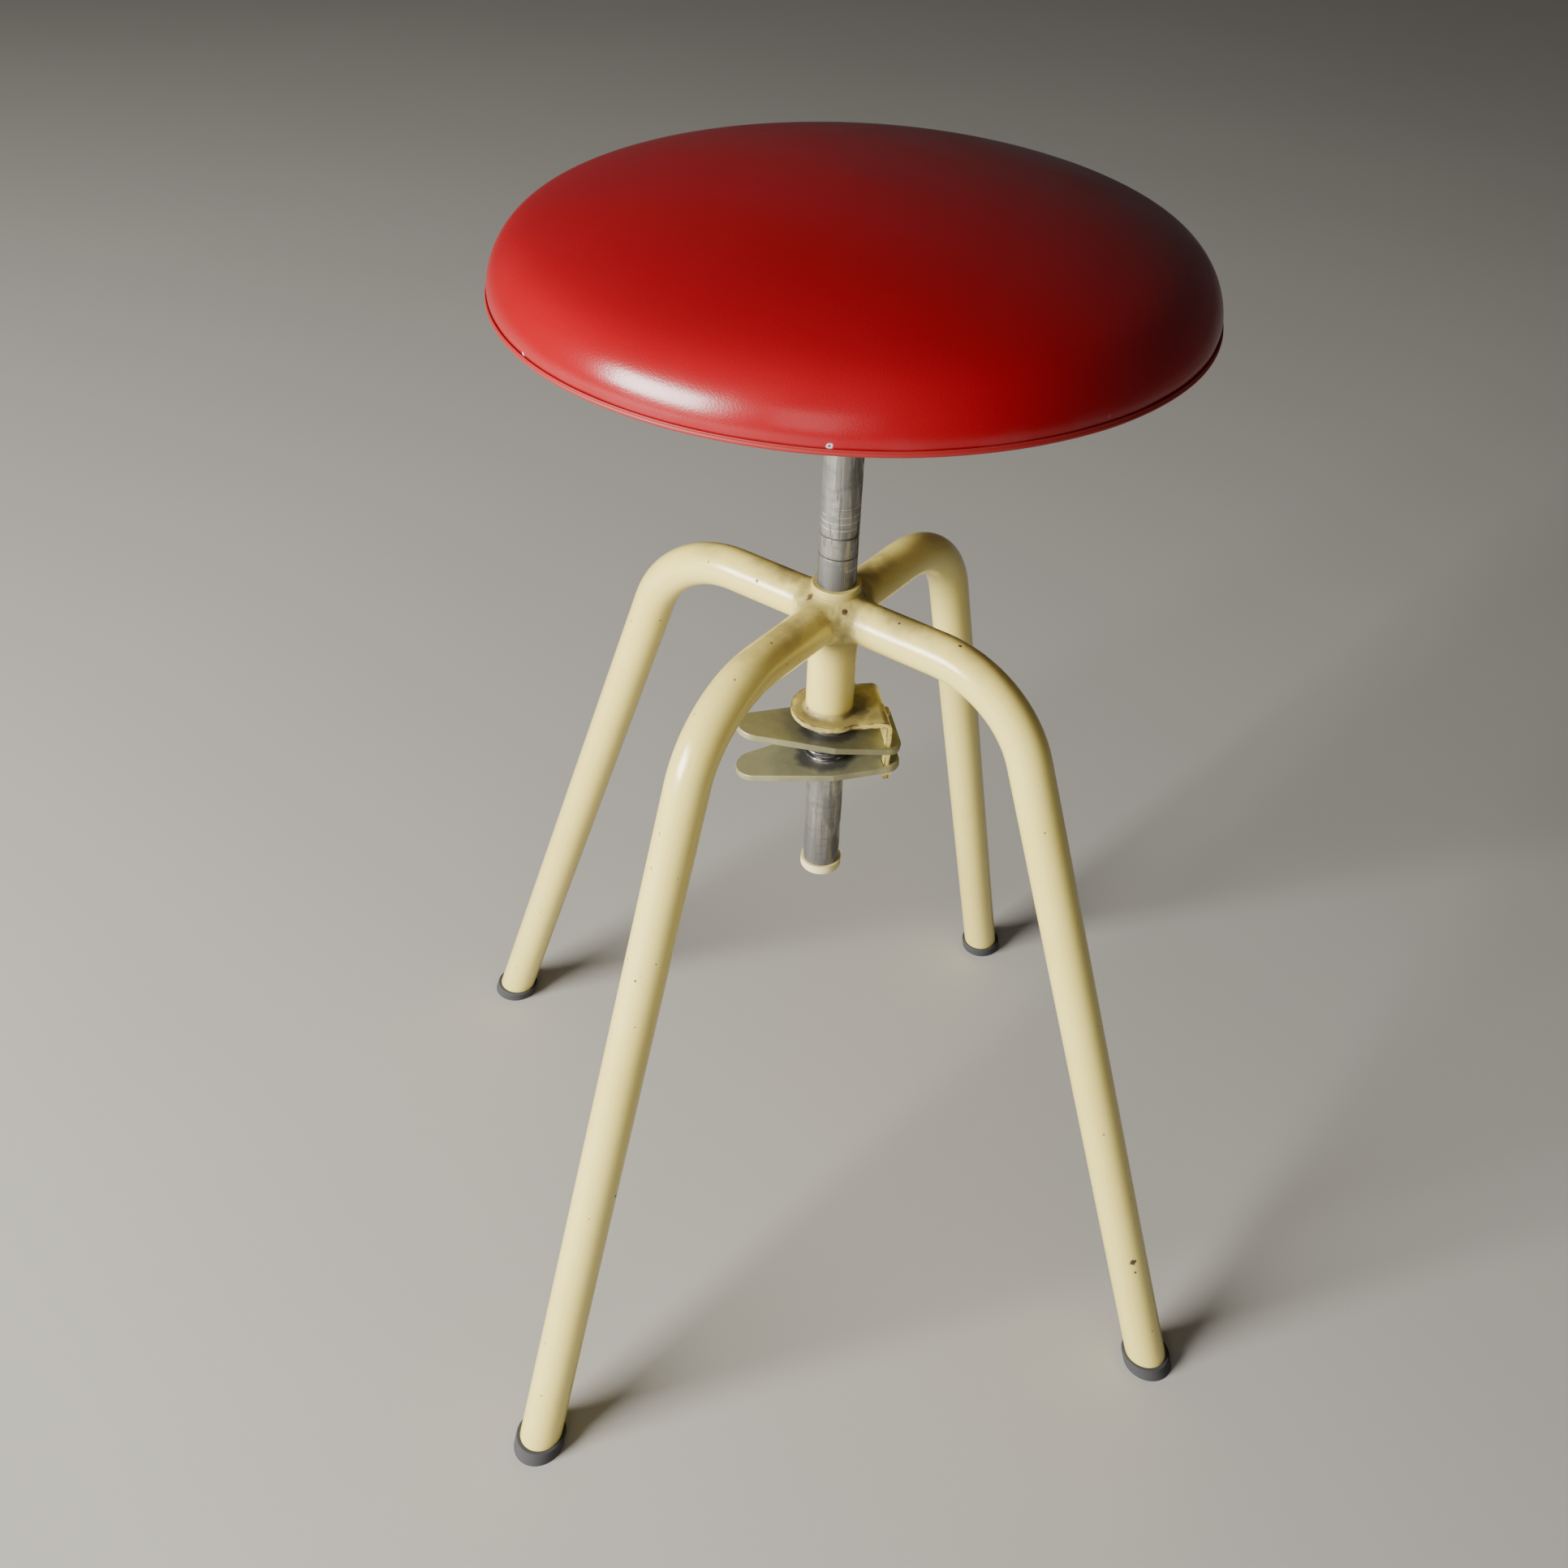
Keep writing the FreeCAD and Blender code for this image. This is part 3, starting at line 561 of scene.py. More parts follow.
    def _spot(self) -> Tree:
        """One ragged mark of a given size at a given place.

        Returns:
            The node group.
        """
        inputs = {"X": 0.0, "Y": 0.0, "Z": 0.0, "Size": 0.002}
        graph, given, out = self._start("spot", inputs, "Mask")
        centre = graph.node("ShaderNodeCombineXYZ")
        for number, axis in enumerate("XYZ"):
            graph.feed(centre.inputs[number], given[axis])
        place = graph.place()
        away = graph.node("ShaderNodeVectorMath", operation="DISTANCE")
        graph.feed(away.inputs[0], place)
        graph.feed(away.inputs[1], centre.outputs[0])
        torn = graph.level(graph.noise(place, self.torn_scale), low=0.3, high=1.7)
        rim = graph.both(given["Size"], torn)
        solid = graph.both(rim, self.solid_share)
        graph.feed(out, graph.between(away.outputs["Value"], rim, solid))
        return graph.tree

    def _grain(self) -> Tree:
        """Height of a fine pebbled grain.

        Returns:
            The node group.
        """
        graph, given, out = self._start("grain", {"Scale": 700, "Fineness": 3}, "Height")
        place = graph.place()
        cells = graph.node("ShaderNodeTexVoronoi", feature="SMOOTH_F1")
        graph.feed(cells.inputs["Vector"], place)
        graph.feed(cells.inputs["Scale"], given["Scale"])
        fine = graph.noise(place, graph.both(given["Scale"], given["Fineness"]), detail=2.0)
        pebble = graph.math("SUBTRACT", 1.0, cells.outputs["Distance"])
        graph.feed(out, graph.math("ADD", pebble, graph.both(fine, self.fine_share)))
        return graph.tree


@dataclass(frozen=True)
class Surface:
    """What a finish gives besides its colour: sockets that change over it, or fixed values."""

    roughness: object
    metallic: object = 0.0
    height: object = None
    depth: float = 0.0
    coat: float = 0.0
    specular: float = 0.5


class Layers(Graph):
    """The graph of one material, whose colour is laid on in layers."""

    coat_roughness: float = 0.12

    def __init__(self, name: str, base: Colour) -> None:
        """Start a material with a Principled shader and one even colour.

        Args:
            name: The material's name.
            base: Its colour before anything is laid on.
        """
        self.name = name
        self.colour: object = base
        material = bpy.data.materials.new(name)
        material.use_nodes = True
        super().__init__(material.node_tree)

    def lay(self, colour: Colour, *masks: object) -> None:
        """Lay a colour over what is there, as strongly as its masks and shares multiplied."""
        self.colour = self.blend(self.both(*masks), self.colour, colour)

    def finished(self, surface: Surface) -> Material:
        """Join the colour and the rest of a surface to the shader.

        Args:
            surface: What the finish has worked out.

        Returns:
            The material of that name. Known fault: foot_rubber, cap_plastic and welt_vinyl are also
            names of the frame's own plain materials, so for them it is the plain one.
        """
        shader = self.tree.nodes["Principled BSDF"]
        self.feed(shader.inputs["Base Color"], self.colour)
        self.feed(shader.inputs["Roughness"], surface.roughness)
        self.feed(shader.inputs["Metallic"], surface.metallic)
        shader.inputs["Coat Weight"].default_value = surface.coat
        shader.inputs["Coat Roughness"].default_value = self.coat_roughness
        shader.inputs["Specular IOR Level"].default_value = surface.specular
        if surface.height is not None:
            bump = self.node("ShaderNodeBump")
            bump.inputs["Distance"].default_value = surface.depth
            self.feed(bump.inputs["Height"], surface.height)
            self.feed(shader.inputs["Normal"], bump.outputs["Normal"])
        return bpy.data.materials[self.name]


# ------------------------ finishes


@dataclass(frozen=True)
class Enamel:
    """Old cream stove enamel with grime on top near the hub, painted shade in the crevices round
    the sleeve, chips and fine pits.
    """

    name: str
    edges: bool = False
    hub_height: float = 0.0
    foot_height: float = 0.0
    tip_height: float = 0.0
    chips: tuple[Mark, ...] = (
        Mark(0.1734, -0.1847, 0.0939, 0.0026),
        Mark(0.1755, -0.1870, 0.0860, 0.0012),
        Mark(-0.1260, -0.1366, 0.2928, 0.0013),
    )
    pits: tuple[Mark, ...] = (
        Mark(-0.0018, -0.0164, 0.4822, 0.0016),
        Mark(0.0020, -0.0180, 0.4765, 0.0020),
        Mark(-0.0075, -0.0150, 0.4830, 0.0011),
        Mark(-0.0162, -0.0033, 0.4790, 0.0032),
        Mark(0.0165, -0.0040, 0.4790, 0.0022),
        Mark(-0.0010, -0.0203, 0.3978, 0.0013),
    )
    cream: Colour = (0.88, 0.745, 0.215)
    ochre: Colour = (0.76, 0.59, 0.13)
    # colour of the settled grime and of the painted shade in the crevices
    grime_and_shade: Colour = (0.105, 0.082, 0.042)
    rust: Colour = (0.085, 0.045, 0.020)

    def material(self, effects: Effects) -> Material:
        """Build the enamel.

        Args:
            effects: The shared node groups.

        Returns:
            The material.
        """
        graph = Layers(self.name, self.cream)
        clouds = graph.effect(effects.blotches, scale=14.0, low=0.35, high=0.75)
        graph.lay(self.ochre, clouds, 0.35)
        # grime on the arms' tops: strong at the hub, patchy further out
        up = graph.effect(effects.facing_up, low=0.25, high=1.0)
        patches = graph.effect(effects.blotches, scale=45.0, low=0.38, high=0.72)
        reach = graph.effect(effects.near_axis, inner=0.02, outer=0.15, ragged=0.02)
        settled = graph.both(up, patches, reach, 0.75)
        # painted shade: darker in the crevices round the sleeve, where the arms and the bracket
        # meet it
        crevice_shade = graph.effect(effects.near_axis, inner=0.0175, outer=0.030, ragged=0.026)
        if self.hub_height:
            hub = graph.effect(effects.height_band, height=self.hub_height, half_width=0.034)
            foot = graph.effect(effects.height_band, height=self.foot_height, half_width=0.006)
            crevice_shade = graph.both(crevice_shade, graph.either(hub, foot))
        crevice_shade = graph.both(crevice_shade, graph.level(patches, low=0.7, high=1.0))
        # dirt here holds the settled grime and the painted crevice shade together
        dirt = graph.either(settled, crevice_shade)
        chips = graph.effect(effects.specks, scale=70.0, size=0.10, share=0.32)
        pits = graph.effect(effects.specks, scale=230.0, size=0.22, share=0.09)
        single = graph.marks(effects.spot, self.chips + self.pits)
        marks = graph.either(chips, single, graph.both(pits, 0.7))
        if self.edges:
            edge = graph.effect(effects.edge_wear, radius=0.0022, low=0.004, high=0.06)
            broken = graph.effect(effects.blotches, scale=150.0, low=0.40, high=0.56)
            tips = graph.effect(effects.height_band, height=self.tip_height, half_width=0.006)
            marks = graph.either(marks, graph.both(edge, broken), graph.both(tips, 0.8))
        graph.lay(self.grime_and_shade, dirt)
        graph.lay(self.rust, marks)
        rough = graph.level(graph.either(dirt, marks), low=0.24, high=0.72)
        skin = graph.noise(graph.place(), scale=160.0, detail=2.0)
        height = graph.math("SUBTRACT", graph.both(skin, 0.35), marks)
        return graph.finished(Surface(rough, height=height, depth=0.00022, coat=0.25))


@dataclass(frozen=True)
class WornSteel:
    """Bright tube dulled by use, scored all round where the levers bit into it."""

    name: str
    sleeve_top: float
    cap_top: float
    seat_bottom: float
    bright: Colour = (0.47, 0.46, 0.42)
    dull: Colour = (0.19, 0.185, 0.175)
    score: Colour = (0.022, 0.021, 0.023)
    scratch: Colour = (0.60, 0.59, 0.55)
    smear: Colour = (0.17, 0.168, 0.17)
    oil: Colour = (0.11, 0.112, 0.12)
    fresh: Colour = (0.62, 0.60, 0.50)
    rust: Colour = (0.075, 0.055, 0.048)
    dark_width: float = 0.0009
    light_width: float = 0.0006
    # heights above the sleeve's top, in millimetres
    dark_rings: tuple[float, ...] = (19.5, 32.5)
    light_rings: tuple[float, ...] = (12.3, 30.5, 38.0, 42.0, 46.0, 51.0, 63.5)

    def _rings(
        self, graph: Graph, effects: Effects, heights: tuple[float, ...], half_width: float
    ) -> Socket:
        """Give one mask of thin rings at several heights above the sleeve's top.

        Args:
            graph: The graph they are added to.
            effects: The shared node groups.
            heights: Heights above the sleeve's top, in millimetres.
            half_width: Half of the width of each ring.

        Returns:
            The mask.
        """
        bands = [
            graph.effect(
                effects.height_band, height=self.sleeve_top + above * MM, half_width=half_width
            )
            for above in heights
        ]
        return graph.either(*bands)

    def material(self, effects: Effects) -> Material:
        """Build the steel.

        Args:
            effects: The shared node groups.

        Returns:
            The material.
        """
        graph = Layers(self.name, self.bright)
        drawn = graph.effect(effects.streaks, scale=420.0, squeeze=0.05, low=0.38, high=0.62)
        stains = graph.effect(effects.streaks, scale=130.0, squeeze=0.3, low=0.44, high=0.58)
        wiped = graph.effect(effects.streaks, scale=90.0, squeeze=2.6, low=0.5, high=0.64)
        graph.lay(self.dull, drawn, 0.45)
        graph.lay(self.dull, stains, 0.7)
        graph.lay(self.smear, wiped, 0.4)
        # oil and graphite darken the tube just above the sleeve and just above the cap
        oiled = graph.either(
            graph.effect(effects.height_band, height=self.sleeve_top, half_width=0.034),
            graph.effect(effects.height_band, height=self.cap_top, half_width=0.06),
        )
        graph.lay(self.oil, oiled, 0.55)
        fresh = graph.effect(effects.height_band, height=self.seat_bottom, half_width=0.09)
        graph.lay(self.fresh, fresh, 0.45)
        chipped = graph.effect(effects.blotches, scale=75.0, low=0.36, high=0.5)
        dark = graph.both(self._rings(graph, effects, self.dark_rings, self.dark_width), chipped)
        part = graph.effect(effects.blotches, scale=60.0, low=0.47, high=0.56)
        light = graph.both(self._rings(graph, effects, self.light_rings, self.light_width), part)
        graph.lay(self.scratch, light)
        graph.lay(self.score, dark)
        specks = graph.effect(effects.streaks, scale=190.0, squeeze=0.22, low=0.63, high=0.67)
        scores = graph.effect(effects.streaks, scale=260.0, squeeze=0.08, low=0.58, high=0.64)
        graph.lay(self.rust, specks, 0.75)
        graph.lay(self.dull, scores, 0.6)
        rough = graph.level(graph.either(stains, dark, specks), low=0.3, high=0.58)
        metal = graph.level(graph.either(dark, specks), low=0.85, high=0.3)
        cuts = graph.either(dark, graph.both(scores, 0.5), graph.both(specks, 0.4))
        height = graph.math("SUBTRACT", graph.both(drawn, 0.12), cuts)
        return graph.finished(Surface(rough, metal, height=height, depth=0.0002))


@dataclass(frozen=True)
class YellowZinc:
    """Olive zinc plating, dulled, with dark grease round the post."""

    name: str
    plate: Colour = (0.41, 0.39, 0.215)
    dull: Colour = (0.26, 0.255, 0.13)
    grease: Colour = (0.035, 0.034, 0.037)
    sparkle: Colour = (0.62, 0.60, 0.46)
    rubbed: Colour = (0.56, 0.55, 0.42)

    def material(self, effects: Effects) -> Material:
        """Build the plating.

        Args:
            effects: The shared node groups.

        Returns:
            The material.
        """
        graph = Layers(self.name, self.plate)
        clouds = graph.effect(effects.blotches, scale=40.0, low=0.35, high=0.7)
        graph.lay(self.dull, clouds, 0.5)
        specks = graph.effect(effects.specks, scale=380.0, size=0.4, share=0.3)
        graph.lay(self.sparkle, specks, 0.25)
        grease = graph.effect(effects.near_axis, inner=0.015, outer=0.024, ragged=0.012)
        film = graph.effect(effects.near_axis, inner=0.018, outer=0.042, ragged=0.03)
        dirt = graph.either(graph.both(grease, 0.92), graph.both(film, 0.42))
        graph.lay(self.grease, dirt)
        edge = graph.effect(effects.edge_wear, radius=0.0008, low=0.04, high=0.25)
        broken = graph.effect(effects.blotches, scale=130.0, low=0.4, high=0.65)
        rub = graph.both(edge, broken, 0.5)
        graph.lay(self.rubbed, rub)
        rough = graph.level(graph.either(clouds, dirt), low=0.36, high=0.56)
        metal = graph.level(dirt, low=0.45, high=0.2)
        fine = graph.noise(graph.place(), scale=420.0, detail=3.0)
        height = graph.math("ADD", graph.both(fine, 0.5), graph.both(clouds, 0.25))
        return graph.finished(Surface(rough, metal, height=height, depth=0.00012))


@dataclass(frozen=True)
class Vinyl:
    """Smooth red upholstery vinyl with a fine grain, scuffed low down by shoes and hands."""

    name: str
    seam_height: float
    red: Colour = (0.31, 0.002, 0.0075)
    deep: Colour = (0.235, 0.0016, 0.0055)
    scuff: Colour = (0.30, 0.045, 0.055)
    rub: Colour = (0.50, 0.13, 0.12)
    torn: Colour = (0.62, 0.50, 0.58)
    hole: Colour = (0.03, 0.01, 0.015)
    grain_scale: float = 1250.0
    nicks: tuple[Mark, ...] = (
        Mark(-0.0425, -0.1734, 0.6597, 0.0017),
        Mark(-0.1627, -0.0735, 0.6590, 0.0013),
    )

    def material(self, effects: Effects) -> Material:
        """Build the vinyl.

        Args:
            effects: The shared node groups.

        Returns:
            The material.
        """
        graph = Layers(self.name, self.red)
        clouds = graph.effect(effects.blotches, scale=7.0, low=0.3, high=0.7)
        graph.lay(self.deep, clouds, 0.35)
        low = graph.effect(effects.height_band, height=self.seam_height, half_width=0.014)
        patches = graph.effect(effects.blotches, scale=38.0, low=0.38, high=0.62)
        scuffed = graph.both(low, patches, 0.22)
        graph.lay(self.scuff, scuffed)
        marks = graph.effect(effects.specks, scale=26.0, size=0.045, share=0.12)
        graph.lay(self.rub, marks, 0.4)
        graph.lay(self.torn, graph.marks(effects.spot, self.nicks))
        hole = graph.marks(effects.spot, self.nicks[:1], grow=0.45)
        graph.lay(self.hole, hole)
        smudges = graph.effect(effects.blotches, scale=16.0, low=0.4, high=0.75)
        rough = graph.level(graph.either(graph.both(smudges, 0.5), scuffed), low=0.22, high=0.42)
        grain = graph.effect(effects.grain, scale=self.grain_scale, fineness=2.5)
        height = graph.math("SUBTRACT", grain, graph.both(hole, 4.0))
        return graph.finished(Surface(rough, height=height, depth=0.00003, coat=0.1, specular=0.45))


@dataclass(frozen=True)
class WeltVinyl:
    """Darker piping vinyl whose upper ridge is painted pale pink, partly as wear and partly as a
    painted highlight.
    """

    name: str
    lip_height: float
    red: Colour = (0.15, 0.008, 0.014)
    # pale pink of the upper ridge: wear and a painted highlight together
    wear_and_highlight: Colour = (0.50, 0.27, 0.25)
    dust: Colour = (0.45, 0.32, 0.28)

    def material(self, effects: Effects) -> Material:
        """Build the piping's vinyl.

        Args:
            effects: The shared node groups.

        Returns:
            The material.
        """
        graph = Layers(self.name, self.red)
        # the lip's band is painted pale: partly wear, partly a painted highlight along the upper
        # ridge
        lip = graph.effect(effects.height_band, height=self.lip_height, half_width=0.0011)
        broken = graph.effect(effects.blotches, scale=120.0, low=0.3, high=0.62)
        wear_and_highlight = graph.both(lip, graph.level(broken, low=0.55, high=1.0))
        graph.lay(self.wear_and_highlight, wear_and_highlight)
        dust = graph.effect(effects.specks, scale=300.0, size=0.35, share=0.15)
        graph.lay(self.dust, dust, 0.5)
        rough = graph.level(wear_and_highlight, low=0.42, high=0.62)
        height = graph.effect(effects.grain, scale=1500.0, fineness=2.0)
        return graph.finished(Surface(rough, height=height, depth=0.00006))


@dataclass(frozen=True)
class Rubber:
    """Dark rubber, greyed by floor dust."""

    name: str
    black: Colour = (0.009, 0.009, 0.011)
    dust: Colour = (0.095, 0.090, 0.082)

    def material(self, effects: Effects) -> Material:
        """Build the rubber.

        Args:
            effects: The shared node groups.

        Returns:
            The material.
        """
        graph = Layers(self.name, self.black)
        up = graph.effect(effects.facing_up, low=-0.3, high=0.9)
        patches = graph.effect(effects.blotches, scale=110.0, low=0.35, high=0.7)
        floor = graph.effect(effects.height_band, height=0.0, half_width=0.004)
        dusty = graph.both(graph.either(up, floor), patches, 0.35)
        graph.lay(self.dust, dusty)
        scuffs = graph.effect(effects.specks, scale=420.0, size=0.35, share=0.2)
        graph.lay(self.dust, scuffs, 0.35)
        rough = graph.level(dusty, low=0.58, high=0.85)
        height = graph.effect(effects.grain, scale=900.0, fineness=2.0)
        return graph.finished(Surface(rough, height=height, depth=0.00012))


@dataclass(frozen=True)
class MouldedPlastic:
    """Satin cream plastic with greasy dirt on its shoulder."""

    name: str
    cream: Colour = (0.60, 0.40, 0.085)
    shade: Colour = (0.50, 0.31, 0.06)
    dirt: Colour = (0.10, 0.07, 0.04)

    def material(self, effects: Effects) -> Material:
        """Build the plastic.

        Args:
            effects: The shared node groups.

        Returns:
            The material.
        """
        graph = Layers(self.name, self.cream)
        clouds = graph.effect(effects.blotches, scale=60.0, low=0.35, high=0.7)
        graph.lay(self.shade, clouds, 0.4)
        up = graph.effect(effects.facing_up, low=0.6, high=1.0)
        nicks = graph.effect(effects.specks, scale=260.0, size=0.3, share=0.12)
        dirty = graph.either(graph.both(up, 0.7), graph.both(nicks, 0.7))
        graph.lay(self.dirt, dirty)
        rough = graph.level(dirty, low=0.35, high=0.7)
        height = graph.math("SUBTRACT", graph.noise(graph.place(), scale=300.0), nicks)
        return graph.finished(Surface(rough, height=height, depth=0.0001))


@dataclass(frozen=True)
class SpringWire:
    """Oiled dark wire, rubbed bright in places."""

    name: str
    dark: Colour = (0.07, 0.07, 0.075)
    bright: Colour = (0.50, 0.49, 0.47)
    rust: Colour = (0.10, 0.045, 0.02)

    def material(self, effects: Effects) -> Material:
        """Build the wire's finish.

        Args:
            effects: The shared node groups.

        Returns:
            The material.
        """
        graph = Layers(self.name, self.dark)
        rubbed = graph.effect(effects.blotches, scale=170.0, low=0.48, high=0.66)
        graph.lay(self.bright, rubbed, 0.7)
        rust = graph.effect(effects.specks, scale=520.0, size=0.5, share=0.25)
        graph.lay(self.rust, rust, 0.5)
        rough = graph.level(rubbed, low=0.46, high=0.26)
        height = graph.noise(graph.place(), scale=900.0, detail=2.0)
        return graph.finished(Surface(rough, 0.9, height=height, depth=0.00006))


@dataclass(frozen=True)
class Fastener:
    """Zinc-plated fastener steel with a little white and brown bloom."""

    name: str
    zinc: Colour = (0.50, 0.49, 0.46)
    bloom: Colour = (0.24, 0.17, 0.11)

    def material(self, effects: Effects) -> Material:
        """Build the fastener's finish.

        Args:
            effects: The shared node groups.

        Returns:
            The material.
        """
        graph = Layers(self.name, self.zinc)
        bloom = graph.effect(effects.blotches, scale=210.0, low=0.45, high=0.68)
        graph.lay(self.bloom, bloom, 0.6)
        rough = graph.level(bloom, low=0.34, high=0.6)
        metal = graph.level(bloom, low=0.95, high=0.5)
        height = graph.noise(graph.place(), scale=700.0, detail=2.0)
        return graph.finished(Surface(rough, metal, height=height, depth=0.00008))


@dataclass(frozen=True)
class Plywood:
    """Bare plywood: long grain, darker pores and a few handling marks."""

    name: str
    pale: Colour = (0.50, 0.33, 0.17)
    dark: Colour = (0.30, 0.17, 0.075)
    pore: Colour = (0.15, 0.08, 0.035)
    stain: Colour = (0.20, 0.13, 0.07)

    def material(self, effects: Effects) -> Material:
        """Build the wood.

        Args:
            effects: The shared node groups.

        Returns:
            The material.
        """
        graph = Layers(self.name, self.pale)
        place = graph.place()
        bands = graph.noise(graph.stretched(place, (5.0, 55.0, 55.0)), scale=1.0, detail=5.0)
        figure = graph.between(bands, 0.32, 0.7)
        pores = graph.noise(graph.stretched(place, (60.0, 1400.0, 1400.0)), scale=1.0, detail=2.0)
        pore = graph.between(pores, 0.6, 0.75)
        graph.lay(self.dark, figure)
        graph.lay(self.pore, pore, 0.55)
        marks = graph.effect(effects.blotches, scale=18.0, low=0.55, high=0.8)
        graph.lay(self.stain, marks, 0.35)
        rough = graph.level(figure, low=0.62, high=0.78)
        height = graph.math("SUBTRACT", graph.both(figure, 0.4), pore)
        return graph.finished(Surface(rough, height=height, depth=0.00015))


# ------------------------ sub-assemblies


@dataclass
class Cushion:
    """Domed seat pad: vinyl drawn over foam, tucked in behind the welt and turned under."""

    segments: int = 144
    crown_rings: int = 30
    shoulder_rings: int = 12
    loose_rings: int = 3
    shoulder_radius: float = 29.5 * MM
    side_height: float = 7.0 * MM
    tuck_height: float = 2.7 * MM
    tuck_depth: float = 0.6 * MM
    hem_width: float = 24.0 * MM
    board_clearance: float = 0.25 * MM
    crown_slack: float = 1.3 * MM
    side_slack: float = 0.2 * MM
    most_swell: float = 2.0 * MM
    swell_fade: float = 13.0 * MM
    relax_passes: int = 18
    relax_fade: float = 14.0 * MM
    evened: int = 4
    frames: int = 20
    pull_reach: float = 18.0 * MM
    pull_scale: float = 9.0
    pull_depth: float = 0.5 * MM
    uneven_scale: float = 8.0
    unevenness: float = 0.3 * MM
    # steps in and up, in millimetres: down the side from the shoulder, into the tuck, and from
    # the tuck's back under the pad
    side_step: tuple[float, float] = (0.05, -1.2)
    tuck_steps: tuple[tuple[float, float], ...] = ((0.1, 1.2), (0.3, 0.4))
    back_drop: float = 0.5 * MM
    under_steps: tuple[tuple[float, float], ...] = ((0.2, 0.8), (0.9, 0.0), (10.0, 0.0))

    def __post_init__(self) -> None:
        """Take the pad's place from its cover and board."""
        low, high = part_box("seat_cover")
        board_low, board_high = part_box("seat_board")
        self.radius = (high[0] - low[0]) / 2
        self.base = low[2]
        self.top = high[2]
        self.board_radius = (board_high[0] - board_low[0]) / 2 + self.board_clearance
        self.board_bottom = board_low[2] - self.board_clearance
        self.board_top = board_high[2] + self.board_clearance
        self.shoulder_height = self.base + self.side_height

    def _dome(self) -> list[tuple[float, float]]:
        """Give the crown's and the shoulder's tangent arcs, from the top to the side.

        Returns:
            Radii and heights.
        """
        shoulder = self.shoulder_radius - self.side_slack
        centre = self.radius - self.shoulder_radius
        rise = self.top - self.crown_slack - self.shoulder_height
        crown = (centre**2 + rise**2 - shoulder**2) / (2 * (rise - shoulder))
        crown_centre = self.shoulder_height + rise - crown
        meet = math.atan2(centre, self.shoulder_height - crown_centre)
        points = []
        for ring in range(self.crown_rings):
            angle = meet * ring / self.crown_rings
            points.append((crown * math.sin(angle), crown_centre + crown * math.cos(angle)))
        for ring in range(self.shoulder_rings + 1):
            angle = meet + (math.pi / 2 - meet) * ring / self.shoulder_rings
            height = self.shoulder_height + shoulder * math.cos(angle)
            points.append((centre + shoulder * math.sin(angle), height))
        return points

    def _tuck(self) -> list[tuple[float, float]]:
        """Give the side below the shoulder, the tuck behind the welt and the turned-under hem.

        Returns:
            Radii and heights.
        """
        side = self.radius - self.side_slack
        behind = side - self.tuck_depth
        tuck = self.base + self.tuck_height
        hem = self.board_radius - self.hem_width
        inward, up = self.side_step
        outline = [(side - inward * MM, self.shoulder_height + up * MM)]
        outline += [(side - inward * MM, tuck + up * MM) for inward, up in self.tuck_steps]
        outline.append((behind, tuck - self.back_drop))
        outline += [(behind - inward * MM, self.base + up * MM) for inward, up in self.under_steps]
        outline += [(hem, self.base), (hem, self.board_bottom)]
        outline += [(self.board_radius, self.board_bottom), (self.board_radius, self.board_top)]
        return outline + [(self.board_radius / 2, self.board_top), (0.0, self.board_top)]

    def _swell(self, piece: Piece, free: int) -> None:
        """Blow the skin up as cloth under pressure, held along its lower edge.

        Args:
            piece: The pad.
            free: Number of leading corners that may move.
        """
        held = piece.vertex_groups.new(name="held")
        held.add(list(range(free, len(piece.data.vertices))), 1.0, "REPLACE")
        cloth = piece.modifiers.new("swell", "CLOTH")
        settings = cloth.settings
        settings.mass = 0.3
        settings.tension_stiffness = settings.compression_stiffness = 25.0
        settings.bending_stiffness = 4.0
        settings.use_pressure = True
        settings.uniform_pressure_force = 4.0
        settings.effector_weights.gravity = 0.0
        settings.vertex_group_mass = held.name
        cloth.collision_settings.use_collision = False
        scene = bpy.context.scene
        for number in range(1, self.frames + 1):
            scene.frame_set(number)
        blown = piece.evaluated_get(bpy.context.evaluated_depsgraph_get()).data
        outward = [self._outward(corner.co) for corner in piece.data.vertices]
        rise = [
            min(self._most(before.co.z), max(0.0, (after.co - before.co).dot(way)))
            for before, after, way in zip(piece.data.vertices, blown.vertices, outward)
        ]
        piece.modifiers.remove(cloth)
        piece.vertex_groups.remove(held)
        scene.frame_set(1)
        LOG.info("pad swells by %.2f mm at the most", max(rise[:free]) / MM)
        for number in range(1, free):
            start = number - (number - 1) % self.segments
            around_ring = [
                rise[start + (number - start + step) % self.segments]
                for step in range(-self.evened, self.evened + 1)
            ]
            even = sum(around_ring) / len(around_ring)
            piece.data.vertices[number].co += outward[number] * even
        piece.data.vertices[0].co.z += rise[0]

    def _most(self, height: float) -> float:
        """Give how far the skin may rise at a height: less and less towards the welt."""
        above = max(0.0, height - self.base - self.tuck_height)
        return self.most_swell * min(1.0, above / self.swell_fade)

    def _outward(self, point: Vector) -> Vector:
        """Give the way the pad's skin faces near a point of the dome.

        Args:
            point: The point.

        Returns:
            A direction of length 1.
        """
        rim = Vector((point.x, point.y, 0))
        centre = self.radius - self.shoulder_radius
        if rim.length > centre:
            rim *= centre / rim.length
            return (point - rim - Vector((0, 0, self.shoulder_height))).normalized()
        return (point - Vector((0, 0, self.base - self.radius))).normalized()

    def _relax(self, piece: Piece, free: int) -> None:
        """Ease the crown's curve into the shoulder's, less and less towards the side.

        Args:
            piece: The pad.
            free: Number of leading corners on the dome.
        """
        corners = piece.data.vertices
        for _ in range(self.relax_passes):
            places = [corner.co.copy() for corner in corners]
            for number in range(1 + self.segments, free - self.segments):
                above = (places[number].z - self.shoulder_height) / self.relax_fade
                middle = (places[number - self.segments] + places[number + self.segments]) / 2
                share = min(1.0, max(0.0, above)) / 2
                corners[number].co = places[number].lerp(middle, share)

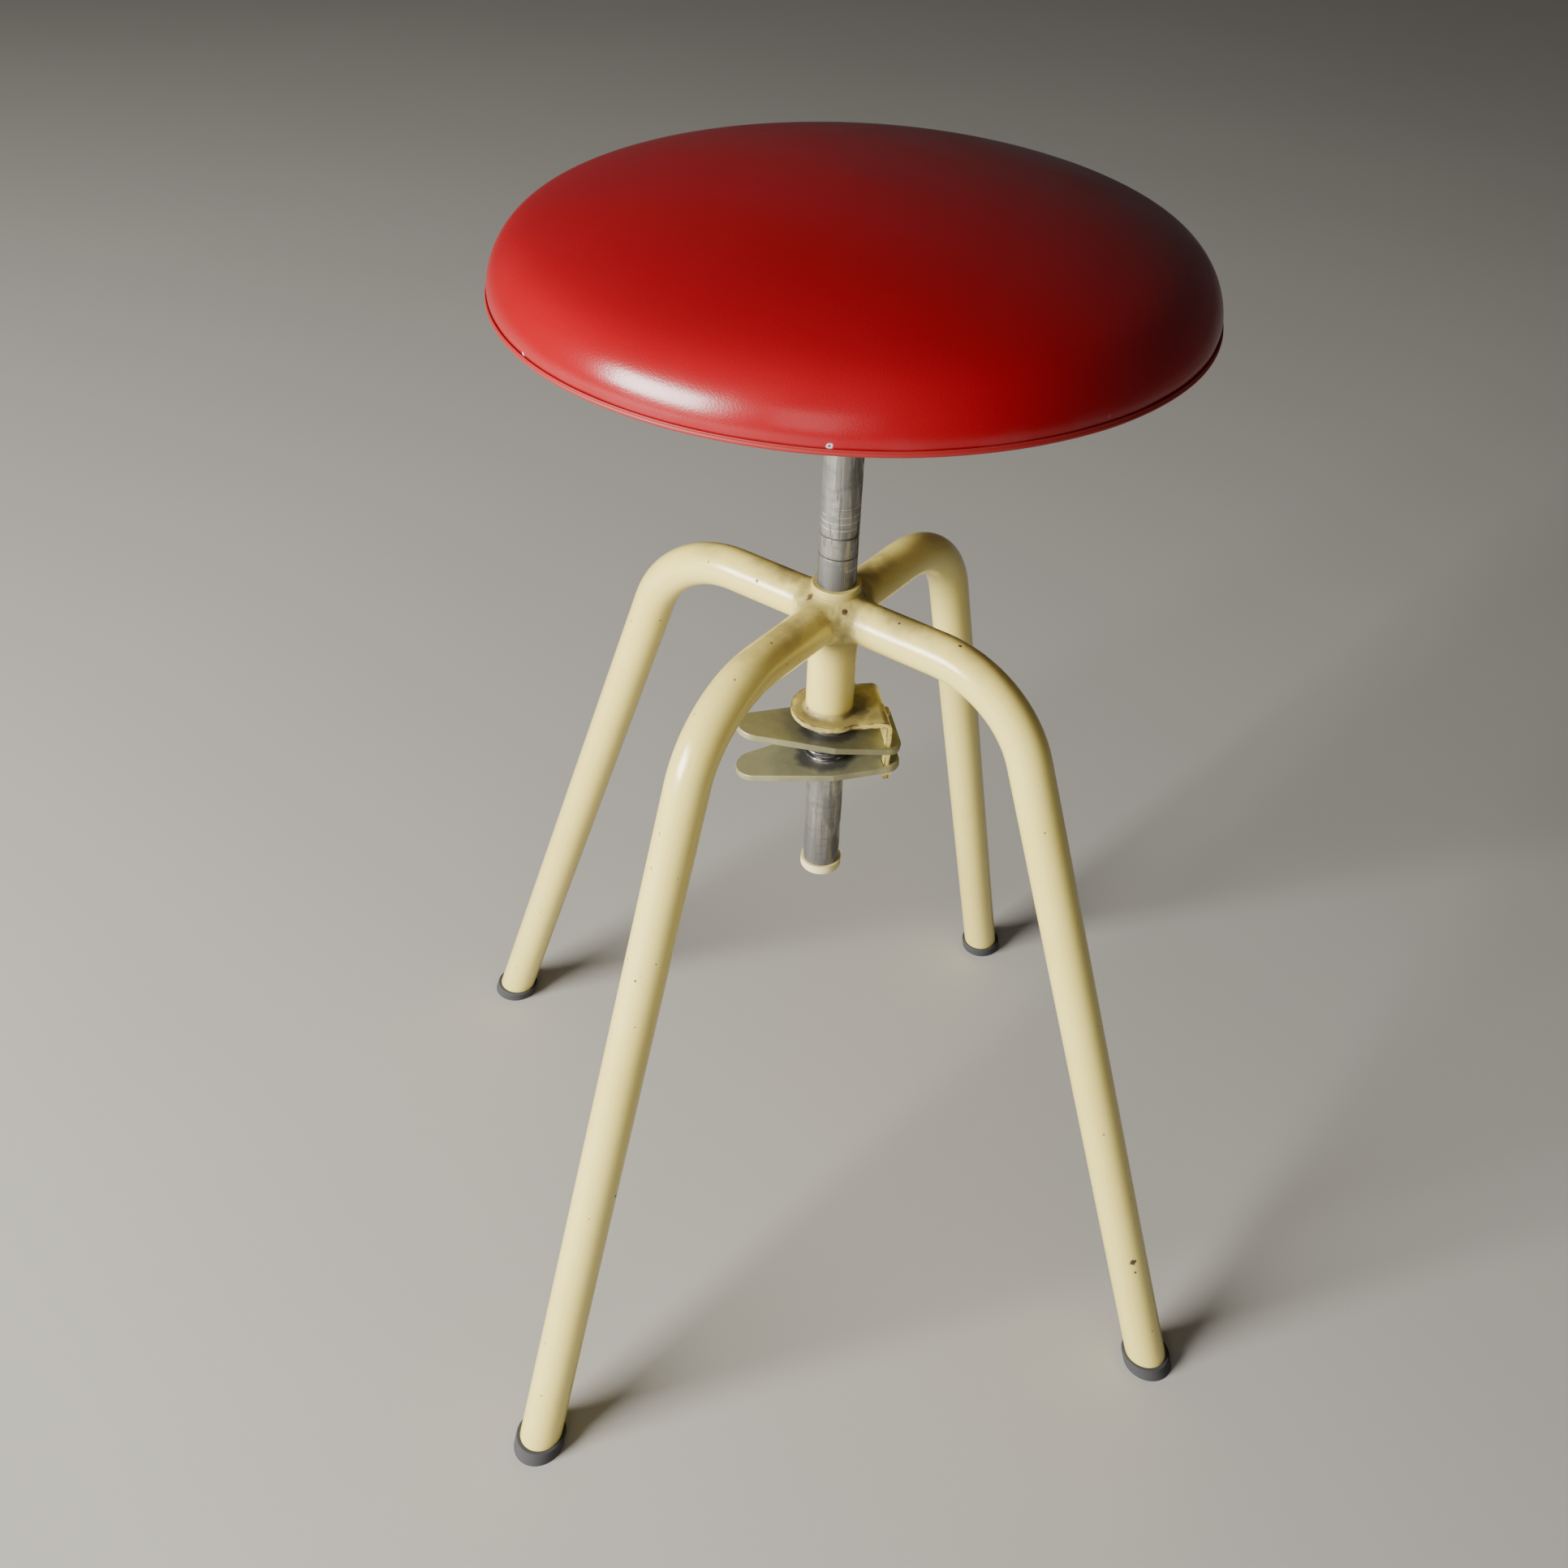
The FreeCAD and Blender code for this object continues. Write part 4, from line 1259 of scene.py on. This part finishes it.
    def _settle(self, piece: Piece, free: int) -> None:
        """Press in the small pulls along the welt and the pad's faint unevenness.

        Args:
            piece: The pad.
            free: Number of leading corners on the dome.
        """
        for corner in list(piece.data.vertices)[:free]:
            outward = self._outward(corner.co)
            above = (corner.co.z - self.base - self.tuck_height) / self.pull_reach
            fade = max(0.0, 1.0 - max(0.0, above))
            rim = around(math.atan2(corner.co.y, corner.co.x), self.pull_scale, 0)
            pull = max(0.0, noise.noise(rim)) * self.pull_depth * fade**2
            corner.co += outward * (lump(corner.co, self.uneven_scale, self.unevenness) - pull)

    def build(self, effects: Effects) -> Piece:
        """Make, blow up and dress the pad.

        Args:
            effects: The shared node groups.

        Returns:
            The pad.
        """
        dome = self._dome()
        piece = new_piece("seat_cushion", lathe(dome + self._tuck(), self.segments))
        free = 1 + (len(dome) + self.loose_rings - 1) * self.segments
        self._swell(piece, free)
        self._relax(piece, free)
        self._settle(piece, free)
        rounding = piece.modifiers.new("rounding", "SUBSURF")
        rounding.levels = rounding.render_levels = 1
        piece.data.materials.append(Vinyl("red_vinyl", self.base).material(effects))
        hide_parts("seat_cover", "seat_foam")
        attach(piece, "seat_and_post")
        return piece


@dataclass
class Welt:
    """Piping round the pad's lower edge: a cord in its sleeve, with the sleeve's lip above it."""

    steps: int = 360
    sides: int = 12
    cord_radius: float = 1.3 * MM
    lip_radius: float = 0.5 * MM
    inset: float = 0.5 * MM
    lip_outset: float = 0.6 * MM
    lip_drop: float = 0.3 * MM
    waver: float = 0.12 * MM
    waver_scale: float = 25.0
    swelling: float = 0.06 * MM
    swelling_scale: float = 60.0
    end_share: float = 0.75
    joint_angle: float = 1.9
    joint_gap: float = 0.004

    def _loop(self, radius: float, height: float, thickness: float) -> Shape:
        """Make one wavering loop with its two ends butted at the joint.

        Args:
            radius: Distance of the loop from the axis.
            height: Height of the loop.
            thickness: Radius of its section.

        Returns:
            The loop's corners and faces.
        """
        path = []
        radii = []
        round_trip = TURN - 2 * self.joint_gap
        for step in range(self.steps + 1):
            angle = self.joint_angle + self.joint_gap + round_trip * step / self.steps
            place = around(angle, radius, height)
            path.append(place + Vector((0, 0, lump(place, self.waver_scale, self.waver))))
            swollen = thickness + lump(place, self.swelling_scale, self.swelling)
            radii.append(swollen * (self.end_share if step in (0, self.steps) else 1.0))
        across = [Vector((0, 0, 1))] * len(path)
        return tube(path, across, radii, self.sides)

    def build(self, effects: Effects) -> Piece:
        """Make and dress the piping.

        Args:
            effects: The shared node groups.

        Returns:
            The piping.
        """
        low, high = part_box("cover_bead")
        middle = (high[0] - low[0]) / 2 - (high[2] - low[2]) / 2 - self.inset
        cord = self._loop(middle, low[2] + self.cord_radius, self.cord_radius)
        lip_height = high[2] - self.lip_drop
        lip = self._loop(middle + self.lip_outset, lip_height, self.lip_radius)
        piece = new_piece("seat_welt", joined([cord, lip]))
        piece.data.materials.append(WeltVinyl("welt_vinyl", lip_height).material(effects))
        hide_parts("cover_bead")
        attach(piece, "seat_and_post")
        return piece


@dataclass
class ClampSpring:
    """Open coil between the levers. It fans out to meet both of them at their tilt."""

    turns: float = 3.5
    steps_per_turn: int = 48
    sides: int = 12
    wire: float = 2.0 * MM
    lever_tilt: float = math.radians(6.0)
    kept_when_squeezed: float = 0.5
    fan: float = 0.9
    evenness: float = 0.85

    def build(self, effects: Effects) -> Piece:
        """Make the coil and hang it on the stand.

        Args:
            effects: The shared node groups.

        Returns:
            The coil.
        """
        low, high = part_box("clamp_spring")
        middle = (low[2] + high[2]) / 2
        reach = (high[2] - low[2]) / 2 - self.wire / 2
        radius = (high[0] - low[0]) / 2 - self.wire / 2
        path = []
        across = []
        count = round(self.turns * self.steps_per_turn)
        for step in range(count + 1):
            share = 2 * step / count - 1
            place = around(TURN * self.turns * step / count, radius, 0)
            # the levers' inner faces lean apart away from the prongs
            opening = reach + (radius - place.x) * math.tan(self.lever_tilt) * self.fan
            # the turns stand a little wider apart in the middle than at the levers
            rise = opening * math.copysign(abs(share) ** self.evenness, share)
            path.append(place + Vector((0, 0, middle + rise)))
            across.append(place)
        radii = [self.wire / 2] * len(path)
        piece = new_piece("lever_spring", tube(path, across, radii, self.sides))
        piece.data.materials.append(SpringWire("spring_wire").material(effects))
        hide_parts("clamp_spring")
        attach(piece, "stand")
        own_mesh(piece)
        return piece


@dataclass
class HubWelds:
    """Brazed fillets where the arms meet the sleeve and each other, and round the bracket.

    The big fillet is a skin round the hub that lies just under the tubes, and comes out of them
    only in the corners, where it blends one tube into the next.
    """

    arm_radius: float = 12.5 * MM
    azimuths: tuple[float, ...] = (-135.0, -45.0, 45.0, 135.0)
    blend: float = 11.0 * MM
    least_blend: float = 0.4 * MM
    fade_height: float = 17.5 * MM
    fade_radius: float = 29.0 * MM
    fade_over: float = 8.0 * MM
    sunk: float = 0.12 * MM
    reach: float = 33.0 * MM
    inner: float = 12.6 * MM
    half_height: float = 12.5 * MM
    spread: float = math.radians(60.0)
    columns: int = 160
    rows: int = 30
    strides: int = 44
    # unevenness of the fillets: how fine and how strong, coarse first
    hub_lumps: tuple[tuple[float, float], ...] = ((110.0, 0.30), (380.0, 0.10))
    base_lumps: tuple[tuple[float, float], ...] = ((110.0, 0.5), (500.0, 0.15))
    base_fillet: float = 2.6 * MM
    base_sunk: float = 1.2 * MM
    base_steps: int = 120
    base_rows: int = 6

    @staticmethod
    def _uneven(point: Vector, lumps: tuple[tuple[float, float], ...]) -> float:
        """Give a fillet's size at a point, as a factor."""
        return sum((lump(point, scale, height) for scale, height in lumps), start=1.0)

    @staticmethod
    def _merged(first: float, second: float, width: float) -> float:
        """Give the smaller of two distances, rounded over where they are nearly the same."""
        near = max(width - abs(first - second), 0.0) / width
        return min(first, second) - near * near * width / 4

    def _distance(self, point: Vector, sleeve: float) -> float:
        """Give how far a point lies outside the blended tubes.

        Args:
            point: The point, with its height measured from the arms' middle.
            sleeve: The sleeve's radius.

        Returns:
            The distance in metres, below 0 inside.
        """
        rim = math.hypot(point.x, point.y)
        room = min(self.fade_height - abs(point.z), self.fade_radius - rim)
        fade = min(1.0, max(0.0, room / self.fade_over))
        width = self.blend * self._uneven(point, self.hub_lumps) * fade + self.least_blend
        result = rim - sleeve
        for azimuth in self.azimuths:
            turn = math.radians(azimuth)
            along = max(0.0, point.x * math.cos(turn) + point.y * math.sin(turn))
            beside = point - around(turn, along, 0)
            result = self._merged(result, beside.length - self.arm_radius, width)
        return result

    def _hub(self, sleeve: float) -> Shape:
        """Find the fillet's skin by feeling outward from inside the sleeve's wall.

        Args:
            sleeve: The sleeve's radius.

        Returns:
            The skin's corners and faces, closed by a wall hidden inside the sleeve.
        """
        corners: list[Vector] = []
        for column in range(self.columns):
            angle = TURN * column / self.columns
            out = around(angle, 1, 0)
            for row in range(self.rows):
                share = 2 * row / (self.rows - 1) - 1
                tip = self.spread * share
                start = out * self.inner + Vector((0, 0, self.half_height * share))
                way = out * math.cos(tip) + Vector((0, 0, math.sin(tip)))
                low, high = 0.0, self.reach - self.inner
                if self._distance(start + way * high, sleeve) > -self.sunk:
                    for _ in range(self.strides):
                        middle = (low + high) / 2
                        inside = self._distance(start + way * middle, sleeve) < -self.sunk
                        low, high = (middle, high) if inside else (low, middle)
                corners.append(start + way * high + Vector((0, 0, ARM_HEIGHT)))
            for height in (ARM_HEIGHT + self.half_height, ARM_HEIGHT - self.half_height):
                corners.append(out * self.inner + Vector((0, 0, height)))
        return corners, self._grid(self.columns, self.rows + 2)

    @staticmethod
    def _grid(columns: int, rows: int) -> list[Face]:
        """Join columns of corners into a closed ring of quads.

        Args:
            columns: Number of columns round the ring.
            rows: Number of corners in a column.

        Returns:
            The faces.
        """
        faces: list[Face] = []
        for column in range(columns):
            here = column * rows
            there = (column + 1) % columns * rows
            for row in range(rows):
                after = (row + 1) % rows
                faces.append((here + row, there + row, there + after, here + after))
        return faces

    def _base(self, sleeve: float, height: float) -> Shape:
        """Make the hollow fillet round the sleeve's foot on the bracket.

        Args:
            sleeve: The sleeve's radius.
            height: Height of the sleeve's foot.

        Returns:
            The fillet's corners and faces.
        """
        corners: list[Vector] = []
        for step in range(self.base_steps):
            angle = TURN * step / self.base_steps
            place = around(angle, sleeve, height)
            size = self.base_fillet * self._uneven(place, self.base_lumps)
            for row in range(self.base_rows + 1):
                bend = math.pi + math.pi / 2 * row / self.base_rows
                radius = sleeve + size + size * math.cos(bend) - self.sunk
                rise = size + size * math.sin(bend) - self.sunk
                corners.append(around(angle, radius, height + rise))
            corners.append(around(angle, sleeve - self.base_sunk, height - self.sunk))
            corners.append(around(angle, sleeve - self.base_sunk, height + size))
        return corners, self._grid(self.base_steps, self.base_rows + 3)

    def build(self, enamel: Material) -> Piece:
        """Make the fillets and paint them with the frame.

        Args:
            enamel: The frame's paint.

        Returns:
            The welds.
        """
        low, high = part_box("centre_sleeve")
        sleeve = (high[0] - low[0]) / 2
        piece = new_piece("hub_welds", joined([self._hub(sleeve), self._base(sleeve, low[2])]))
        piece.data.materials.append(enamel)
        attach(piece, "stand")
        return piece


class Corner(Enum):
    """The four legs by where they stand."""

    FRONT_LEFT = "front_left"
    FRONT_RIGHT = "front_right"
    BACK_RIGHT = "back_right"
    BACK_LEFT = "back_left"


class MetalFrame:
    """Finishes for the pieces whose shape already stands: tubes, bracket, levers, post, board."""

    def dress(self, effects: Effects) -> Material:
        """Give each standing piece its finish.

        Args:
            effects: The shared node groups.

        Returns:
            The tube enamel, for the welds.
        """
        sleeve_low, sleeve_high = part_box("centre_sleeve")
        paint = Enamel("cream_enamel", hub_height=ARM_HEIGHT, foot_height=sleeve_low[2])
        tubes = paint.material(effects)
        prong_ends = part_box("clamp_bracket")[0][2]
        clamp = Enamel("cream_enamel_clamp", edges=True, tip_height=prong_ends).material(effects)
        rubber = Rubber("foot_rubber").material(effects)
        fastener = Fastener("plated_fastener").material(effects)
        zinc = YellowZinc("yellow_zinc").material(effects)
        steel = WornSteel(
            "worn_tube",
            sleeve_top=sleeve_high[2],
            cap_top=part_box("seat_post")[0][2],
            seat_bottom=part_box("seat_plate")[0][2],
        ).material(effects)
        finishes = {
            "centre_sleeve": tubes,
            "clamp_bracket": clamp,
            "upper_clamp_lever": zinc,
            "lower_clamp_lever": zinc,
            "seat_post": steel,
            "post_end_cap": MouldedPlastic("cap_plastic").material(effects),
            "seat_plate": clamp,
            "seat_board": Plywood("bare_plywood").material(effects),
            "seat_screws": fastener,
            "cover_staples": fastener,
        }
        for corner in Corner:
            finishes["leg_" + corner.value] = tubes
            finishes["foot_" + corner.value] = rubber
        for node, material in finishes.items():
            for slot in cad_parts[node].material_slots:
                slot.material = material
            LOG.info("dressed %s with %s", node, material.name)
        return tubes


# ------------------------ studio


@dataclass(frozen=True)
class SoftLight:
    """One rectangular light: its name, place, width and height in metres, and power in watts."""

    name: str
    place: Place
    size: tuple[float, float]
    watts: float

    def hang(self, target: Vector, colour: Colour) -> None:
        """Hang the light and turn it to a target.

        Args:
            target: What it points at.
            colour: The colour of its light.
        """
        data = bpy.data.lights.new(self.name, "AREA")
        data.shape = "RECTANGLE"
        data.size, data.size_y = self.size
        data.energy = self.watts
        data.color = colour
        light = bpy.data.objects.new(self.name, data)
        light.location = self.place
        light.rotation_euler = (target - light.location).to_track_quat("-Z", "Y").to_euler()
        bpy.context.scene.collection.objects.link(light)


@dataclass
class Studio:
    """Pale floor, soft lights from the front left like a window and a doorway, and the camera."""

    floor_size: float = 14.0
    floor_dark: Colour = (0.47, 0.455, 0.42)
    floor_pale: Colour = (0.53, 0.51, 0.47)
    lights: tuple[SoftLight, ...] = (
        SoftLight("window", (-2.75, -1.15, 1.25), (1.6, 1.0), 285.0),
        SoftLight("doorway", (-1.2, -3.0, 1.3), (1.2, 1.6), 12.0),
    )
    lit_height: float = 0.45
    daylight: Colour = (1.0, 0.98, 0.94)
    room_light: Colour = (1.0, 0.97, 0.93)
    room_strength: float = 0.065
    camera_heading: float = math.radians(10.47)
    camera_pitch: float = math.radians(-35.23)
    camera_roll: float = math.radians(2.54)
    camera_place: Place = (-0.1578, -0.7529, 0.9614)
    sensor: float = 36.0
    lens: float = 37.354
    shift: tuple[float, float] = (-0.0097, -0.0673)

    def _floor(self) -> None:
        """Make the plain pale floor."""
        half = self.floor_size / 2
        corners = [Vector((x * half, y * half, 0)) for x, y in ((-1, -1), (1, -1), (1, 1), (-1, 1))]
        floor = new_piece("floor", (corners, [(0, 1, 2, 3)]))
        graph = Layers("pale_floor", self.floor_dark)
        graph.lay(self.floor_pale, graph.noise(graph.place(), scale=1.3))
        floor.data.materials.append(graph.finished(Surface(roughness=0.7)))

    def _camera(self) -> None:
        """Stand the camera at its viewing angle."""
        data = bpy.data.cameras.new("camera")
        data.sensor_width = self.sensor
        data.lens = self.lens
        data.shift_x, data.shift_y = self.shift
        camera = bpy.data.objects.new("camera", data)
        aim = Matrix.Rotation(-self.camera_heading, 4, "Z")
        aim = aim @ Matrix.Rotation(math.pi / 2 + self.camera_pitch, 4, "X")
        aim = aim @ Matrix.Rotation(self.camera_roll, 4, "Z")
        aim.translation = Vector(self.camera_place)
        camera.matrix_world = aim
        bpy.context.scene.collection.objects.link(camera)
        bpy.context.scene.camera = camera

    def build(self) -> None:
        """Set up the floor, the lights and the camera."""
        self._floor()
        for light in self.lights:
            light.hang(Vector((0, 0, self.lit_height)), self.daylight)
        world = bpy.data.worlds.new("studio")
        world.use_nodes = True
        background = world.node_tree.nodes["Background"]
        background.inputs["Color"].default_value = (*self.room_light, 1.0)
        background.inputs["Strength"].default_value = self.room_strength
        bpy.context.scene.world = world
        self._camera()


def main() -> None:
    """Build and dress the stool, then set up the studio."""
    logging.basicConfig(level=logging.INFO, format="%(name)s: %(message)s")
    effects = Effects()
    tubes = MetalFrame().dress(effects)
    pieces = [
        Cushion().build(effects),
        Welt().build(effects),
        ClampSpring().build(effects),
        HubWelds().build(tubes),
    ]
    for piece in pieces:
        LOG.info("built %s with %d corners", piece.name, len(piece.data.vertices))
    Studio().build()


if __name__ == "__main__":
    main()
